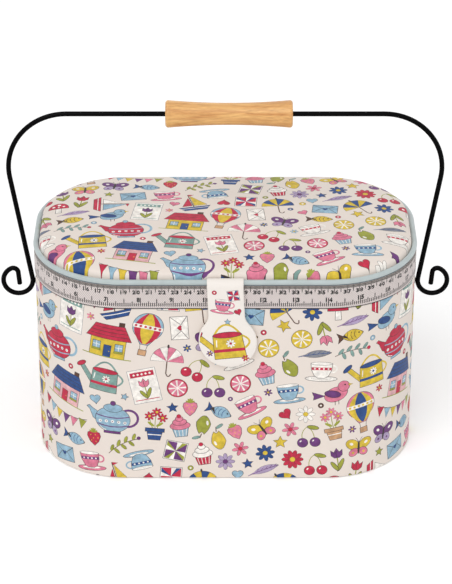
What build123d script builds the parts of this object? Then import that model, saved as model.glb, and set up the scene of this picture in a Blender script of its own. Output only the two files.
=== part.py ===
from build123d import *
import math
import os

# Sewing box: cloth-covered oval box, hinged padded lid, wire handle with a wooden grip.
# Millimetres. +Z up, front towards -Y. Origin: centre of the underside.

# Body, measured over its printed cloth
body_length = 304.0
body_depth = 183.0
corner_radius = 73.0
body_height = 155.0

# Sheet thicknesses
cloth = 0.6
lining_cloth = 0.5
wall_thickness = 2.4
base_thickness = 3.0
glue_line = 0.15

# Box floor
base_cloth_inset = 1.5
base_turn_width = 9.0
floor_pad_thickness = 4.0
floor_pad_round = 1.5

# Ledge that carries the tray
ledge_height = 105.5
ledge_thickness = 3.0

# Tray
tray_side_clearance = 1.0
tray_seat_gap = 0.3
tray_height = 38.0
tray_wall = 1.8
tray_floor = 1.8
divider_thickness = 1.6
divider_drop = 3.0
long_divider_y = 14.0
front_divider_x = (-48.0, 48.0)
rear_divider_x = (12.0,)
scallop_radius = 11.0
scallop_depth = 5.0

# Lid
lid_gap = 0.3
lid_rim_height = 20.2
lid_board = 2.4
ribbon_thickness = 0.5
piping_diameter = 4.2
piping_inset = 1.2
crown_height = 14.5
crown_steps = (
    (0.0, 0.0),
    (0.3, 0.30),
    (2.6, 0.62),
    (8.0, 0.79),
    (20.0, 0.92),
    (38.0, 0.98),
    (56.0, 1.0),
)

# Inside of the lid
pocket_length = 118.0
pocket_thickness = 1.2
pocket_side_gap = 5.0
elastic_width = 9.0
elastic_thickness = 1.8
cushion_length = 84.0
cushion_depth = 112.0
cushion_corner = 24.0
cushion_thickness = 8.5
cushion_x = 76.0
cushion_steps = ((3.0, 0.0), (0.0, 0.3), (2.5, 0.7), (12.0, 0.94), (26.0, 1.0))

# Closing tab
tab_neck_width = 28.5
tab_disc_radius = 22.8
tab_disc_height = 127.9
tab_fillet = 12.0
tab_core = 1.6
tab_cloth = 0.5
tab_gap = 0.4
tab_top_drop = 0.3
tab_root_angles = (100.0, 160.0)
magnet_radius = 6.0
magnet_thickness = 1.4
magnet_clearance = 0.15

# Cloth hinge at the back
hinge_width = 150.0
hinge_cloth = 0.5
hinge_leaf_body = 26.0
hinge_leaf_lid = 17.0

# Handle pivot in the two end walls
pivot_height = 132.8
pin_diameter = 3.0
pin_running = 0.05
bush_diameter = 5.0
bush_running = 0.05
bush_flange_diameter = 6.4
bush_flange = 1.75
wire_side_gap = 0.2
cap_diameter = 8.0
cap_thickness = 2.4
pin_end = 1.0

# Handle wire: one flat bent path, the same at both ends
wire_diameter = 4.0
bar_rise = 146.8
leg_lean = 9.4
shoulder_radius = 47.0
scroll_start = 1.5
scroll_radius = 11.9
curl_angle = 62.0
curl_radius = 4.0
curl_sweep = 113.0
tail_length = 11.0
wire_end_round = 0.8

# Wooden grip
grip_length = 100.0
grip_diameter = 21.6
grip_waist = 17.4
grip_end_round = 2.2
grip_running = 0.05
grip_shift = 3.0

# Levels and insets that follow from the sizes above
end_x = body_length / 2
front_y = body_depth / 2
wall_inset = cloth + glue_line
wall_inner = wall_inset + wall_thickness
lining_inset = wall_inner + glue_line
lining_inner = lining_inset + lining_cloth
ledge_inner = lining_inset + ledge_thickness
low_lining_inset = ledge_inner + glue_line
low_lining_inner = low_lining_inset + lining_cloth
cover_bottom = cloth + glue_line
base_bottom = cover_bottom + cloth + glue_line
floor_bottom = base_bottom + base_thickness + glue_line
floor_top = floor_bottom + floor_pad_thickness
rim_board_top = body_height - cloth - glue_line
ledge_board_top = ledge_height - lining_cloth - glue_line
tray_bottom = ledge_height + tray_seat_gap
tray_inset = lining_inner + tray_side_clearance
lid_bottom = body_height + lid_gap
lid_top = lid_bottom + lid_rim_height - glue_line
lid_wall_inset = glue_line
lid_wall_inner = lid_wall_inset + lid_board
lid_top_inset = lid_wall_inner + glue_line
lid_lining_inner = lid_top_inset + lining_cloth
lid_ceiling = lid_top - lid_board - glue_line
lid_lining_face = lid_ceiling - lining_cloth
piping_radius = piping_diameter / 2
piping_z = lid_top + glue_line + piping_radius
crown_inset = piping_inset + piping_radius + glue_line
crown_base = lid_top + glue_line
tab_back_y = front_y - piping_inset + piping_radius + tab_gap
tab_top = piping_z - tab_top_drop
bar_z = pivot_height + bar_rise
wire_radius = wire_diameter / 2
bush_outer_x = end_x + glue_line + bush_flange
wire_x = bush_outer_x + wire_side_gap + wire_radius
lean = math.radians(leg_lean)


def plan(inset):
    """The box's outline from above, drawn in by inset all round."""
    return RectangleRounded(
        body_length - 2 * inset, body_depth - 2 * inset, corner_radius - inset
    )


def slab(inset, low, high):
    """A solid of the drawn-in outline between two levels."""
    return Pos(0, 0, low) * extrude(plan(inset), amount=high - low)


def band(outer, inner, low, high):
    """A wall that follows the outline, between two insets and two levels."""
    return slab(outer, low, high) - slab(inner, low - 1, high + 1)


def block(x, y, z):
    """A plain block given by its (low, high) on each axis."""
    size = (x[1] - x[0], y[1] - y[0], z[1] - z[0])
    middle = ((x[0] + x[1]) / 2, (y[0] + y[1]) / 2, (z[0] + z[1]) / 2)
    return Pos(*middle) * Box(*size)


def rod_x(radius, x_from, x_to, z):
    """A round bar along X in the plane y = 0."""
    return Pos((x_from + x_to) / 2, 0, z) * Rot(0, 90, 0) * Cylinder(radius, abs(x_to - x_from))


def pivot_holes():
    """The hole for the handle bush through both end walls."""
    return rod_x(bush_diameter / 2 + bush_running, -end_x - 5, end_x + 5, pivot_height)


def pin_bore():
    """The running hole for both handle pins."""
    return rod_x(pin_diameter / 2 + pin_running, -body_length, body_length, pivot_height)


def magnet_pocket():
    """The blind recess in the front wall for the catch magnet."""
    depth = magnet_thickness + 2 * magnet_clearance
    start = Plane.XZ.offset(front_y - wall_inset - depth)
    disc = Pos(0, tab_disc_height) * Circle(magnet_radius + magnet_clearance)
    return extrude(start * disc, amount=depth + 1)


def wall_board():
    shell = band(wall_inset, wall_inner, base_bottom, rim_board_top)
    return shell - pivot_holes() - magnet_pocket()


def outer_cover():
    """Printed cloth up the wall, turned in over the rim and under the base."""
    shell = slab(0, cover_bottom, body_height)
    shell -= slab(cloth, cover_bottom + cloth, body_height - cloth)
    shell -= slab(lining_inner, body_height - 2 * cloth, body_height + 1)
    shell -= slab(base_turn_width, cover_bottom - 1, cover_bottom + 2 * cloth)
    return shell - pivot_holes()


def base_board():
    return slab(lining_inset, base_bottom, base_bottom + base_thickness)


def base_cover():
    return slab(base_cloth_inset, 0, cloth)


def lining_board():
    return band(lining_inset, ledge_inner, floor_bottom, ledge_board_top)


def lower_lining():
    """Lining cloth down the inner board, folded over its top edge."""
    down = band(low_lining_inset, low_lining_inner, floor_bottom, ledge_height)
    over = band(lining_inset, low_lining_inner, ledge_board_top + glue_line, ledge_height)
    return down + over


def upper_lining():
    top = body_height - cloth - glue_line
    return band(lining_inset, lining_inner, ledge_height + glue_line, top) - pivot_holes()


def floor_pad():
    """Padded floor with a soft upper edge."""
    pad = slab(low_lining_inner + glue_line, floor_bottom, floor_top)
    return fillet(pad.edges().group_by(Axis.Z)[-1], floor_pad_round)


def catch_magnet():
    back = front_y - wall_inset - magnet_thickness - magnet_clearance
    disc = Pos(0, tab_disc_height) * Circle(magnet_radius)
    return extrude(Plane.XZ.offset(back) * disc, amount=magnet_thickness)


def tray():
    """Moulded tray: a thin pan with dividers, a rolled rim and a finger scallop at each end."""
    top = tray_bottom + tray_height
    centre_x = end_x - tray_inset - scallop_depth + scallop_radius
    pan = slab(tray_inset, tray_bottom, top)
    hollow = slab(tray_inset + tray_wall, tray_bottom + tray_floor, top + 1)
    for side in (-1, 1):
        middle = Pos(side * centre_x, 0, tray_bottom + tray_height / 2)
        pan -= middle * Cylinder(scallop_radius, 3 * tray_height)
        hollow -= middle * Cylinder(scallop_radius + tray_wall, 3 * tray_height)
    walls = Part() + pan - hollow
    low, high = tray_bottom + tray_floor / 2, top - divider_drop
    half = divider_thickness / 2
    dividers = block((-end_x, end_x), (long_divider_y - half, long_divider_y + half), (low, high))
    for x in front_divider_x:
        dividers += block((x - half, x + half), (-front_y, long_divider_y), (low, high))
    for x in rear_divider_x:
        dividers += block((x - half, x + half), (long_divider_y, front_y), (low, high))
    return walls + (dividers & pan)


def lid_rim_board():
    return band(lid_wall_inset, lid_wall_inner, lid_bottom, lid_top)


def lid_top_board():
    return slab(lid_top_inset, lid_top - lid_board, lid_top)


def tape_ribbon():
    return band(-ribbon_thickness, 0, lid_bottom, lid_top)


def piping():
    """Covered cord round the lid's top edge."""
    path = Pos(0, 0, piping_z) * plan(piping_inset).face().outer_wire()
    start = Plane(origin=(0, -front_y + piping_inset, piping_z), z_dir=(1, 0, 0))
    return sweep(start * Circle(piping_radius), path=path)


def crown(inset, base, height):
    """A padded dome: the outline drawn in step by step as it rises."""
    sections = [Pos(0, 0, base + share * height) * plan(inset + step) for step, share in crown_steps]
    return loft(sections, ruled=True)


def lid_pad():
    """Foam under the top cloth, down to the board."""
    skin = cloth + glue_line
    return crown(crown_inset + skin, crown_base, crown_height - skin)


def lid_top_cover():
    """Printed cloth stretched over the foam."""
    inner = crown(crown_inset + cloth, crown_base, crown_height - cloth)
    return crown(crown_inset, crown_base, crown_height) - inner


def lid_lining():
    """Lining cloth under the lid's board and down inside its rim."""
    pan = slab(lid_top_inset, lid_bottom + 2 * glue_line, lid_ceiling)
    return pan - slab(lid_lining_inner, lid_bottom - 1, lid_lining_face)


def pocket_area(inset):
    """The end of the lid's inside that the pocket covers."""
    whole = slab(lid_lining_inner + inset, 0, body_height + lid_rim_height)
    edge = -(end_x - pocket_side_gap - lid_lining_inner - pocket_length)
    return whole, edge


def lid_pocket():
    """Gathered cloth pocket, flat against the lid's lining when empty."""
    whole, edge = pocket_area(pocket_side_gap)
    top = lid_lining_face - glue_line
    return whole & block((-end_x, edge), (-front_y, front_y), (top - pocket_thickness, top))


def pocket_elastic():
    """Elastic hem along the pocket's mouth."""
    whole, edge = pocket_area(pocket_side_gap)
    top = lid_lining_face - glue_line
    x = (edge + glue_line, edge + glue_line + elastic_width)
    return whole & block(x, (-front_y, front_y), (top - elastic_thickness, top))


def pin_cushion():
    """Stuffed cushion on the lid's lining, its crown downwards."""
    top = lid_lining_face - glue_line
    sections = [
        Pos(cushion_x, 0, top - share * cushion_thickness)
        * RectangleRounded(
            cushion_length - 2 * step, cushion_depth - 2 * step, cushion_corner - step / 2
        )
        for step, share in cushion_steps
    ]
    return loft(sections, ruled=True)


def tab_outline(inset):
    """The tab from the front: a neck that widens into a disc."""
    height = tab_top - tab_disc_height - inset
    neck = Pos(0, tab_disc_height + height / 2) * Rectangle(tab_neck_width - 2 * inset, height)
    shape = neck + Pos(0, tab_disc_height) * Circle(tab_disc_radius - inset)
    below_top = shape.vertices().group_by(Axis.Y)[:-1]
    inner_corners = [v for row in below_top for v in row if abs(v.X) > 1 and v.Y > tab_disc_height]
    return fillet(inner_corners, tab_fillet)


def tab_plate(inset, start, thickness):
    """A sheet of the tab's outline, from start towards the front."""
    return extrude(Plane.XZ.offset(start) * tab_outline(inset), amount=thickness)


def tab_magnet_disc(radius, start, thickness):
    disc = Pos(0, tab_disc_height) * Circle(radius)
    return extrude(Plane.XZ.offset(start) * disc, amount=thickness)


tab_core_start = tab_back_y + tab_cloth + glue_line
tab_front_y = tab_core_start + tab_core + glue_line + tab_cloth


def tab_backing():
    return tab_plate(tab_cloth + glue_line, tab_back_y, tab_cloth)


def tab_stiffener():
    core = tab_plate(tab_cloth + glue_line, tab_core_start, tab_core)
    return core - tab_magnet_disc(magnet_radius + magnet_clearance, tab_core_start - 1, tab_core + 2)


def tab_magnet():
    return tab_magnet_disc(magnet_radius, tab_core_start, magnet_thickness)


def tab_cover():
    """Printed cloth over the tab's front, turned round its edge."""
    depth = tab_front_y - tab_back_y
    hollow = tab_plate(tab_cloth, tab_back_y - 1, depth + 1 - tab_cloth)
    return tab_plate(0, tab_back_y, depth) - hollow


def tab_root():
    """Cloth that carries the tab: it leaves the seam and bends over the piping."""
    inner = piping_radius + tab_gap - glue_line
    outer = inner + tab_cloth
    angles = [math.radians(angle) for angle in tab_root_angles]
    corners = [(2 * outer * math.cos(angle), 2 * outer * math.sin(angle)) for angle in angles]
    wedge = make_face(Polyline((0, 0), *corners, close=True))
    seat = (0, -front_y + piping_inset, piping_z)
    section = Plane(origin=seat, x_dir=(0, 1, 0), z_dir=(1, 0, 0))
    arc = section * ((Circle(outer) - Circle(inner)) & wedge)
    return extrude(arc, amount=tab_neck_width / 2, both=True)


def hinge_leaf(y, low, high):
    """One glued leaf of the cloth hinge on the back."""
    return block((-hinge_width / 2, hinge_width / 2), (y, y + hinge_cloth), (low, high))


def hinge_cloth_body():
    top = body_height - lid_gap
    return hinge_leaf(front_y + glue_line, top - hinge_leaf_body, top)


def hinge_cloth_lid():
    y = front_y + ribbon_thickness + glue_line
    return hinge_leaf(y, lid_bottom, lid_bottom + hinge_leaf_lid)


def pair(maker):
    """The same solid at both ends of the box."""
    return Compound(children=[maker(-1), maker(1)])


def pivot_bush(side):
    """Flanged bush in the end wall."""
    inner_x = end_x - lining_inner + glue_line
    flange_x = end_x + glue_line
    barrel = rod_x(bush_diameter / 2, side * inner_x, side * bush_outer_x, pivot_height)
    flange = rod_x(bush_flange_diameter / 2, side * flange_x, side * bush_outer_x, pivot_height)
    return (barrel + flange - pin_bore()).solid()


def half_path():
    """Half of the wire's path, from the middle of the bar to the end of the scroll."""
    centre_z = bar_z - shoulder_radius
    rise = centre_z - pivot_height
    centre_x = wire_x + (rise * math.sin(lean) - shoulder_radius) / math.cos(lean)
    bar = Line((0, bar_z), (centre_x, bar_z))
    shoulder = JernArc(bar @ 1, bar % 1, shoulder_radius, -(90 + leg_lean))
    leg_end = (
        wire_x + scroll_start * math.tan(lean),
        pivot_height + scroll_start,
    )
    leg = Line(shoulder @ 1, leg_end)
    scroll = JernArc(leg @ 1, leg % 1, scroll_radius, 180 + leg_lean + curl_angle)
    curl = JernArc(scroll @ 1, scroll % 1, curl_radius, curl_sweep)
    tail_end = (curl @ 1) + (curl % 1) * tail_length
    tail = Line(curl @ 1, tail_end)
    return [bar, shoulder, leg, scroll, curl, tail]


def handle_wire():
    """One wire bent to the bar, shoulders, legs and end scrolls."""
    section = Plane(origin=(0, 0, bar_z), z_dir=(1, 0, 0)) * Circle(wire_radius)
    path = Wire(Plane.XZ * edge for edge in half_path())
    half = sweep(section, path=path)
    half = fillet(half.edges().sort_by(lambda e: (e.center() - path @ 1).length)[0], wire_end_round)
    return half + mirror(half, Plane.YZ)


def pivot_pin(side):
    """Pin welded to the wire, through the bush and its cap."""
    inner_x = end_x - lining_inner - cap_thickness - pin_end
    pin = rod_x(pin_diameter / 2, side * inner_x, side * wire_x, pivot_height)
    return (pin - handle_wire()).solid()


def pin_cap(side):
    """Push-on cap that keeps the pin in the wall."""
    outer_x = end_x - lining_inner - 2 * glue_line
    cap = rod_x(cap_diameter / 2, side * outer_x, side * (outer_x - cap_thickness), pivot_height)
    return (cap - pin_bore()).solid()


def handle_grip():
    """Turned grip, narrower at its waist, loose on the wire."""
    half = grip_length / 2
    end = grip_diameter / 2
    flat = half - grip_end_round
    shoulder = end - grip_end_round
    profile = make_face(
        [
            Line((-half, 0), (-half, shoulder)),
            RadiusArc((-half, shoulder), (-flat, end), grip_end_round),
            ThreePointArc((-flat, end), (0, grip_waist / 2), (flat, end)),
            RadiusArc((flat, end), (half, shoulder), grip_end_round),
            Line((half, shoulder), (half, 0)),
            Line((half, 0), (-half, 0)),
        ]
    )
    turned = revolve(Plane.XZ * profile, axis=Axis.X)
    bore = Rot(0, 90, 0) * Cylinder(wire_radius + grip_running, 2 * grip_length)
    return Pos(grip_shift, 0, bar_z) * (turned - bore)


MAKERS = {
    "wall_board": wall_board,
    "outer_cover": outer_cover,
    "base_board": base_board,
    "base_cover": base_cover,
    "lining_board": lining_board,
    "lower_lining": lower_lining,
    "upper_lining": upper_lining,
    "floor_pad": floor_pad,
    "catch_magnet": catch_magnet,
    "hinge_cloth_body": hinge_cloth_body,
    "tray": tray,
    "lid_rim_board": lid_rim_board,
    "lid_top_board": lid_top_board,
    "tape_ribbon": tape_ribbon,
    "piping": piping,
    "lid_pad": lid_pad,
    "lid_top_cover": lid_top_cover,
    "lid_lining": lid_lining,
    "lid_pocket": lid_pocket,
    "pocket_elastic": pocket_elastic,
    "pin_cushion": pin_cushion,
    "hinge_cloth_lid": hinge_cloth_lid,
    "tab_root": tab_root,
    "tab_cover": tab_cover,
    "tab_stiffener": tab_stiffener,
    "tab_backing": tab_backing,
    "tab_magnet": tab_magnet,
    "pivot_bushes": lambda: pair(pivot_bush),
    "handle_wire": handle_wire,
    "pivot_pins": lambda: pair(pivot_pin),
    "pin_caps": lambda: pair(pin_cap),
    "handle_grip": handle_grip,
}

os.makedirs("parts", exist_ok=True)
for name, maker in MAKERS.items():
    export_step(maker(), f"parts/{name}.step")
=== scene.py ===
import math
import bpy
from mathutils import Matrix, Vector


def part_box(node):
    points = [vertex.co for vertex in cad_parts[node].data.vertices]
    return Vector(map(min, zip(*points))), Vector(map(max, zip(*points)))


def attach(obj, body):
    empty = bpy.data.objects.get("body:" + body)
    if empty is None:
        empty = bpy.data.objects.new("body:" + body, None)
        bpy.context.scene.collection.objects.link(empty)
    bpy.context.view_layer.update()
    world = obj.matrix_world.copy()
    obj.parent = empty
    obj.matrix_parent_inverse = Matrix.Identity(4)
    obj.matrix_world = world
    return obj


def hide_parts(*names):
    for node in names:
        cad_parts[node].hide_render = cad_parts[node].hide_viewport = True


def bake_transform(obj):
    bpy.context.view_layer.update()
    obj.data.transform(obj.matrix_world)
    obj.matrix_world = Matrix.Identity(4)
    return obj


bl_info = {
    "name": "Sewing box",
    "version": (1, 0, 0),
    "blender": (4, 5, 0),
    "location": "3D View > Sidebar > Sewing box",
    "description": "Dresses a cloth-covered sewing box around its packed CAD frame",
    "category": "Object",
}

import bpy
import numpy as np
from bpy.props import FloatProperty, FloatVectorProperty, IntProperty, PointerProperty
from bpy.types import Operator, Panel, PropertyGroup
from mathutils import Vector
from mathutils.geometry import delaunay_2d_cdt

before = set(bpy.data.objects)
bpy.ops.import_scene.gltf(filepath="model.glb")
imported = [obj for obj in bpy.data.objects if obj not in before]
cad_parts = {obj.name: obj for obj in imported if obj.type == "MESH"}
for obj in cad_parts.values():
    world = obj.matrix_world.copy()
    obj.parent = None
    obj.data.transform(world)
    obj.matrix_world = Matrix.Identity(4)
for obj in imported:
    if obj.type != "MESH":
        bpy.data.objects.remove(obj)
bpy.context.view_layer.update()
MM = 0.001

# The box's outline, read from the frame, in millimetres. It starts in the middle of the back and goes
# anticlockwise, seen from above. STOPS are the distances where its straight sides and its arcs meet.
HALF_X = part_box("outer_cover")[1].x / MM
HALF_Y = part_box("outer_cover")[1].y / MM
CORNER = 73.0
CORE_X, CORE_Y = HALF_X - CORNER, HALF_Y - CORNER
ARC = CORNER * math.pi / 2
STOPS = np.cumsum([0, CORE_X, ARC, 2 * CORE_Y, ARC, 2 * CORE_X, ARC, 2 * CORE_Y, ARC, CORE_X])
ROUND = STOPS[-1]
STOP_X = CORE_X * np.array([0, -1, -1, -1, -1, 1, 1, 1, 1, 0])
STOP_Y = CORE_Y * np.array([1, 1, 1, -1, -1, -1, -1, 1, 1, 1])
STOP_TURN = np.radians([90, 90, 180, 180, 270, 270, 360, 360, 450, 450])


# Outline


def unit(vectors):
    """Vectors made one unit long."""
    return vectors / np.maximum(np.linalg.norm(vectors, axis=-1), 1e-9)[..., None]


def polar(angle, rx=1.0, ry=None):
    """Points of a circle or an ellipse: the cosine and sine of an angle, stretched."""
    return np.stack([rx * np.cos(angle), (rx if ry is None else ry) * np.sin(angle)], -1)


def along(distance):
    """Points on the outline and their outward normals. Each point is a corner's centre, which slides along
    the straight sides, plus the corner radius in a direction that turns on the arcs."""
    normal = polar(np.interp(distance, STOPS, STOP_TURN))
    core = np.stack([np.interp(distance, STOPS, stop) for stop in (STOP_X, STOP_Y)], -1)
    return core + CORNER * normal, normal


def depth_inside(x, y, inset):
    """How far points lie inside the outline drawn in by an inset, and the outward direction there."""
    corner = CORNER - inset
    qx, qy = np.abs(x) - CORE_X, np.abs(y) - CORE_Y
    out_x, out_y = np.maximum(qx, 0), np.maximum(qy, 0)
    depth = corner - np.hypot(out_x, out_y) - np.minimum(np.maximum(qx, qy), 0)
    flat = (qx <= 0) & (qy <= 0)
    out_x, out_y = np.where(flat, qx > qy, out_x), np.where(flat, qx <= qy, out_y)
    return depth, unit(np.stack([np.sign(x) * out_x, np.sign(y) * out_y], -1))


def stations(step):
    """Distances round the outline: close together on the arcs, four to a straight side."""
    rows = []
    for k in range(len(STOPS) - 1):
        arc = STOP_TURN[k + 1] > STOP_TURN[k]
        count = math.ceil((STOPS[k + 1] - STOPS[k]) / step) if arc else 4
        rows.append(np.linspace(STOPS[k], STOPS[k + 1], count, endpoint=False))
    return np.append(np.concatenate(rows), ROUND)


def small_outline(half_x, half_y, corner, step):
    """A small rounded rectangle's points and normals: four quarter circles, and steps along its sides."""
    count = max(4, math.ceil(corner * math.pi / 2 / step)) + 1
    turn = np.add.outer(np.radians([0, 90, 180, 270]), np.linspace(0, math.pi / 2, count))
    normal = polar(turn.ravel())
    core = np.repeat([(1, 1), (-1, 1), (-1, -1), (1, -1)], count, 0) * (half_x - corner, half_y - corner)
    loop = np.hstack([core + corner * normal, normal])
    loop = np.vstack([loop, loop[:1]])
    parts = np.maximum(1, np.round(np.hypot(*np.diff(loop[:, :2], axis=0).T) / step / 2)).astype(int)
    place = np.append(np.concatenate([k + np.arange(n) / n for k, n in enumerate(parts)]), len(parts))
    loop = np.stack([np.interp(place, np.arange(len(loop)), column) for column in loop.T], -1)
    return loop[:, :2], loop[:, 2:]


# Meshes


def numbered(rows, columns, start=0):
    """The numbers of a grid's points, one row after another."""
    return start + np.arange(rows * columns).reshape(rows, columns)


def quads(index):
    """Four-sided faces of a grid of point numbers, which face the side where rows x columns points."""
    return np.stack([index[:-1, :-1], index[:-1, 1:], index[1:, 1:], index[1:, :-1]], -1).reshape(-1, 4)


def two_sided(faces, ring, size):
    """Faces of a solid whose second half of points repeats the first: both sides, and a strip that closes
    them along a ring of points."""
    ahead = np.roll(ring, -1)
    return [faces, faces[:, ::-1] + size, np.stack([ring, ring + size, ahead + size, ahead], -1)]


def make_piece(name, points, faces, material, weld=None, uv=None, normals=None, colours=None, sharp=30):
    """A mesh object from whole arrays. points are in millimetres, faces a list of index arrays, weld the
    point that each point stands for, uv and normals one row per point, colours one row per face."""
    sizes = np.concatenate([np.full(len(block), block.shape[1]) for block in faces])
    corners = np.concatenate([block.ravel() for block in faces])
    used, held = np.unique(corners if weld is None else np.ravel(weld)[corners], return_inverse=True)
    mesh = bpy.data.meshes.new(name)
    mesh.vertices.add(len(used))
    mesh.vertices.foreach_set("co", (points[used] * MM).astype(np.float32).ravel())
    mesh.loops.add(len(held))
    mesh.loops.foreach_set("vertex_index", held.astype(np.int32).ravel())
    mesh.polygons.add(len(sizes))
    mesh.polygons.foreach_set("loop_start", (np.cumsum(sizes) - sizes).astype(np.int32))
    mesh.update(calc_edges=True)
    if uv is not None:
        layer = mesh.uv_layers.new(name="cloth")
        layer.data.foreach_set("uv", (uv[corners] * MM).astype(np.float32).ravel())
    if colours is not None:
        layer = mesh.attributes.new("print", "FLOAT_COLOR", "CORNER")
        layer.data.foreach_set("color", np.repeat(colours, sizes, 0).astype(np.float32).ravel())
    if mesh.validate():
        raise RuntimeError(f"{name} has faces that fold up to nothing")
    mesh.shade_smooth()
    if normals is not None:
        mesh.normals_split_custom_set(normals[corners])
    elif sharp:
        mesh.set_sharp_from_angle(angle=math.radians(sharp))
    mesh.materials.append(material)
    piece = bpy.data.objects.new(name, mesh)
    bpy.context.scene.collection.objects.link(piece)
    return piece


def raised(flat, height):
    """A grid of flat points, each row of it at its own height."""
    return np.dstack([flat, np.broadcast_to(height, flat.shape[:2])]).reshape(-1, 3)


def band(profile, distances):
    """Points of a profile of (inset, height) rows, each row carried round the outline."""
    base, normal = along(distances)
    inset, height = np.asarray(profile, float).T[:, :, None]
    return raised(base - inset[..., None] * normal, height)


def ring_piece(name, profile, material, sharp=30):
    """A closed profile carried round the outline. The profile goes up its outer side first."""
    profile = np.vstack([profile, profile[:1]])
    distances = stations(3.0)
    lengths = np.append(0, np.cumsum(np.hypot(*np.diff(profile, axis=0).T)))
    uv = np.stack(np.broadcast_arrays(distances, lengths[:, None]), -1).reshape(-1, 2)
    index = numbered(len(profile), len(distances))
    weld = index.copy()
    weld[:, -1] = weld[:, 0]
    weld[-1] = weld[0]
    return make_piece(name, band(profile, distances), [quads(index)], material, weld, uv, sharp=sharp)


def disc_piece(name, rows, material, outline=None, centre=(0, 0), sharp=30):
    """A closed pad or a skin like a shallow dish. Its rows of (inset, share, height) are rings of an outline,
    scaled by a share: they grow from the middle of the underside, pass round the rim and shrink again."""
    base, normal = along(stations(4.0)) if outline is None else outline
    inset, share, height = np.asarray(rows, float).T[:, :, None]
    points = raised((base - inset[..., None] * normal) * share[..., None] + centre, height)
    index = numbered(len(rows), len(base))
    weld, faces, side = index.copy(), quads(index), len(base) - 1
    weld[:, -1] = weld[:, 0]
    weld[0], weld[-1] = weld[0, 0], weld[-1, 0]
    blocks = [faces[side:-side], faces[:side, [1, 2, 3]], faces[-side:, [0, 1, 2]]]
    return make_piece(name, points, blocks, material, weld, points[:, :2], sharp=sharp)


def sheet_piece(name, middle, thickness, material, uv):
    """A cloth of some thickness from a grid of points: both sides are the grid set off along its normals,
    which are the cross product of its two gradients, and a strip of faces closes the four edges."""
    side = unit(np.cross(np.gradient(middle, axis=1), np.gradient(middle, axis=0))) * thickness / 2
    index = numbered(*middle.shape[:2])
    edge = np.concatenate([index[0], index[1:, -1], index[-1, -2::-1], index[-2:0:-1, 0]])
    points = np.concatenate([middle + side, middle - side]).reshape(-1, 3)
    uv = np.tile(uv.reshape(-1, 2), (2, 1))
    return make_piece(name, points, two_sided(quads(index), edge, index.size), material, uv=uv, sharp=0)


def seat(piece, body, slot, *nodes):
    """The piece moves with a body, if there is one, and stands for these nodes, which are hidden. Its slot is
    not used.
    """
    if body:
        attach(piece, body)
    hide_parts(*nodes)
    return piece


# Shapes and inks of the print


def linear(text, alpha):
    """A colour written as six hexadecimal digits, in the linear values that a mesh attribute holds."""
    value = np.array([int(text[k : k + 2], 16) / 255 for k in (0, 2, 4)])
    value = np.where(value <= 0.04045, value / 12.92, ((value + 0.055) / 1.055) ** 2.4)
    return np.append(value, alpha)


# Cloth without ink has an alpha of 0, and ink one of 1: there the colour is washed.
GROUNDS = {"ground": "EADFD6", "tape": "DED3D0", "cream": "F3ECE5", "selvedge": "A79E99", "backing": "C3CFD2"}
INKS = {
    "ink": "3D3233", "black": "1D1A1B", "white": "F4EFE8", "grey": "85878F", "brown": "573A2F",
    "tan": "C69B74", "mustard": "D9BC3E", "crimson": "C02A47", "rose": "DC7C95", "blush": "E2AFB3",
    "purple": "6C3B78", "lilac": "AE9CBD", "blue": "2B4C86", "sky": "92B4C8", "olive": "9A9E3C",
    "sage": "7F9F98",
}
INK_NAMES = [*GROUNDS, *INKS]
INK_TABLE = np.array(
    [linear(text, 0.0) for text in GROUNDS.values()] + [linear(text, 1.0) for text in INKS.values()]
)


def move(points, x=0.0, y=0.0, turn=0.0, scale=1.0):
    """Points turned by an angle in degrees, scaled and moved."""
    c, s = math.cos(math.radians(turn)), math.sin(math.radians(turn))
    return np.asarray(points, float) @ np.array([[c, s], [-s, c]]) * scale + (x, y)


def placed(layers, x=0.0, y=0.0, turn=0.0, scale=1.0):
    """A motif, moved like points."""
    return [(move(points, x, y, turn, scale), ink) for points, ink in layers]


def oval(rx, ry=None, x=0.0, y=0.0, turn=0.0, count=18):
    """Points of an ellipse, turned and moved."""
    return move(polar(np.linspace(0, 2 * math.pi, count, endpoint=False), rx, ry), x, y, turn)


def leaf(rx, ry, reach, x, y, turn, count=14):
    """Points of an ellipse whose middle lies some way off from a point, in the direction of a turn."""
    return move(oval(rx, ry, reach, count=count), x, y, turn)


def box(w, h, x=0.0, y=0.0, turn=0.0):
    """Corners of a rectangle, turned and moved."""
    return move(taper(w / 2, -h / 2, w / 2, h / 2)[[0, 3, 2, 1]], x, y, turn)


def taper(x0, y0, x1, y1):
    """Corners of a trapezium with level top and bottom: half the width and the height of each."""
    return np.array([(-x0, y0), (-x1, y1), (x1, y1), (x0, y0)], float)


def arc(r, low, high, count):
    """Points of an arc between two angles in degrees."""
    return polar(np.radians(np.linspace(low, high, count)), r)


def bow(x0, y0, x1, y1, rise, count=9):
    """Points on a parabola between two points that rises sideways in the middle."""
    share = np.linspace(0, 1, count)[:, None]
    a, b = np.array([x0, y0]), np.array([x1, y1])
    side = unit(np.array([-(b - a)[1], (b - a)[0]]))
    return a * (1 - share) + b * share + side * rise * 4 * share * (1 - share)


def grow(points, width):
    """A closed outline set outwards along its mitred normals."""
    points = np.asarray(points, float)
    ahead = np.roll(points, -1, 0)
    way = np.sign(np.sum(points[:, 0] * ahead[:, 1] - ahead[:, 0] * points[:, 1]))
    normals = [unit(step[:, ::-1] * (way, -way)) for step in (ahead - points, points - np.roll(points, 1, 0))]
    middle = normals[0] + normals[1]
    return points + middle * 2 * width / np.maximum(np.sum(middle * middle, 1), 0.8)[:, None]


# A layer is an outline and its ink. What follows gives lists of layers, from the bottom up.


def plain(shape, ink):
    """A filled shape without an outline."""
    return [(np.asarray(shape, float), ink)]


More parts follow.
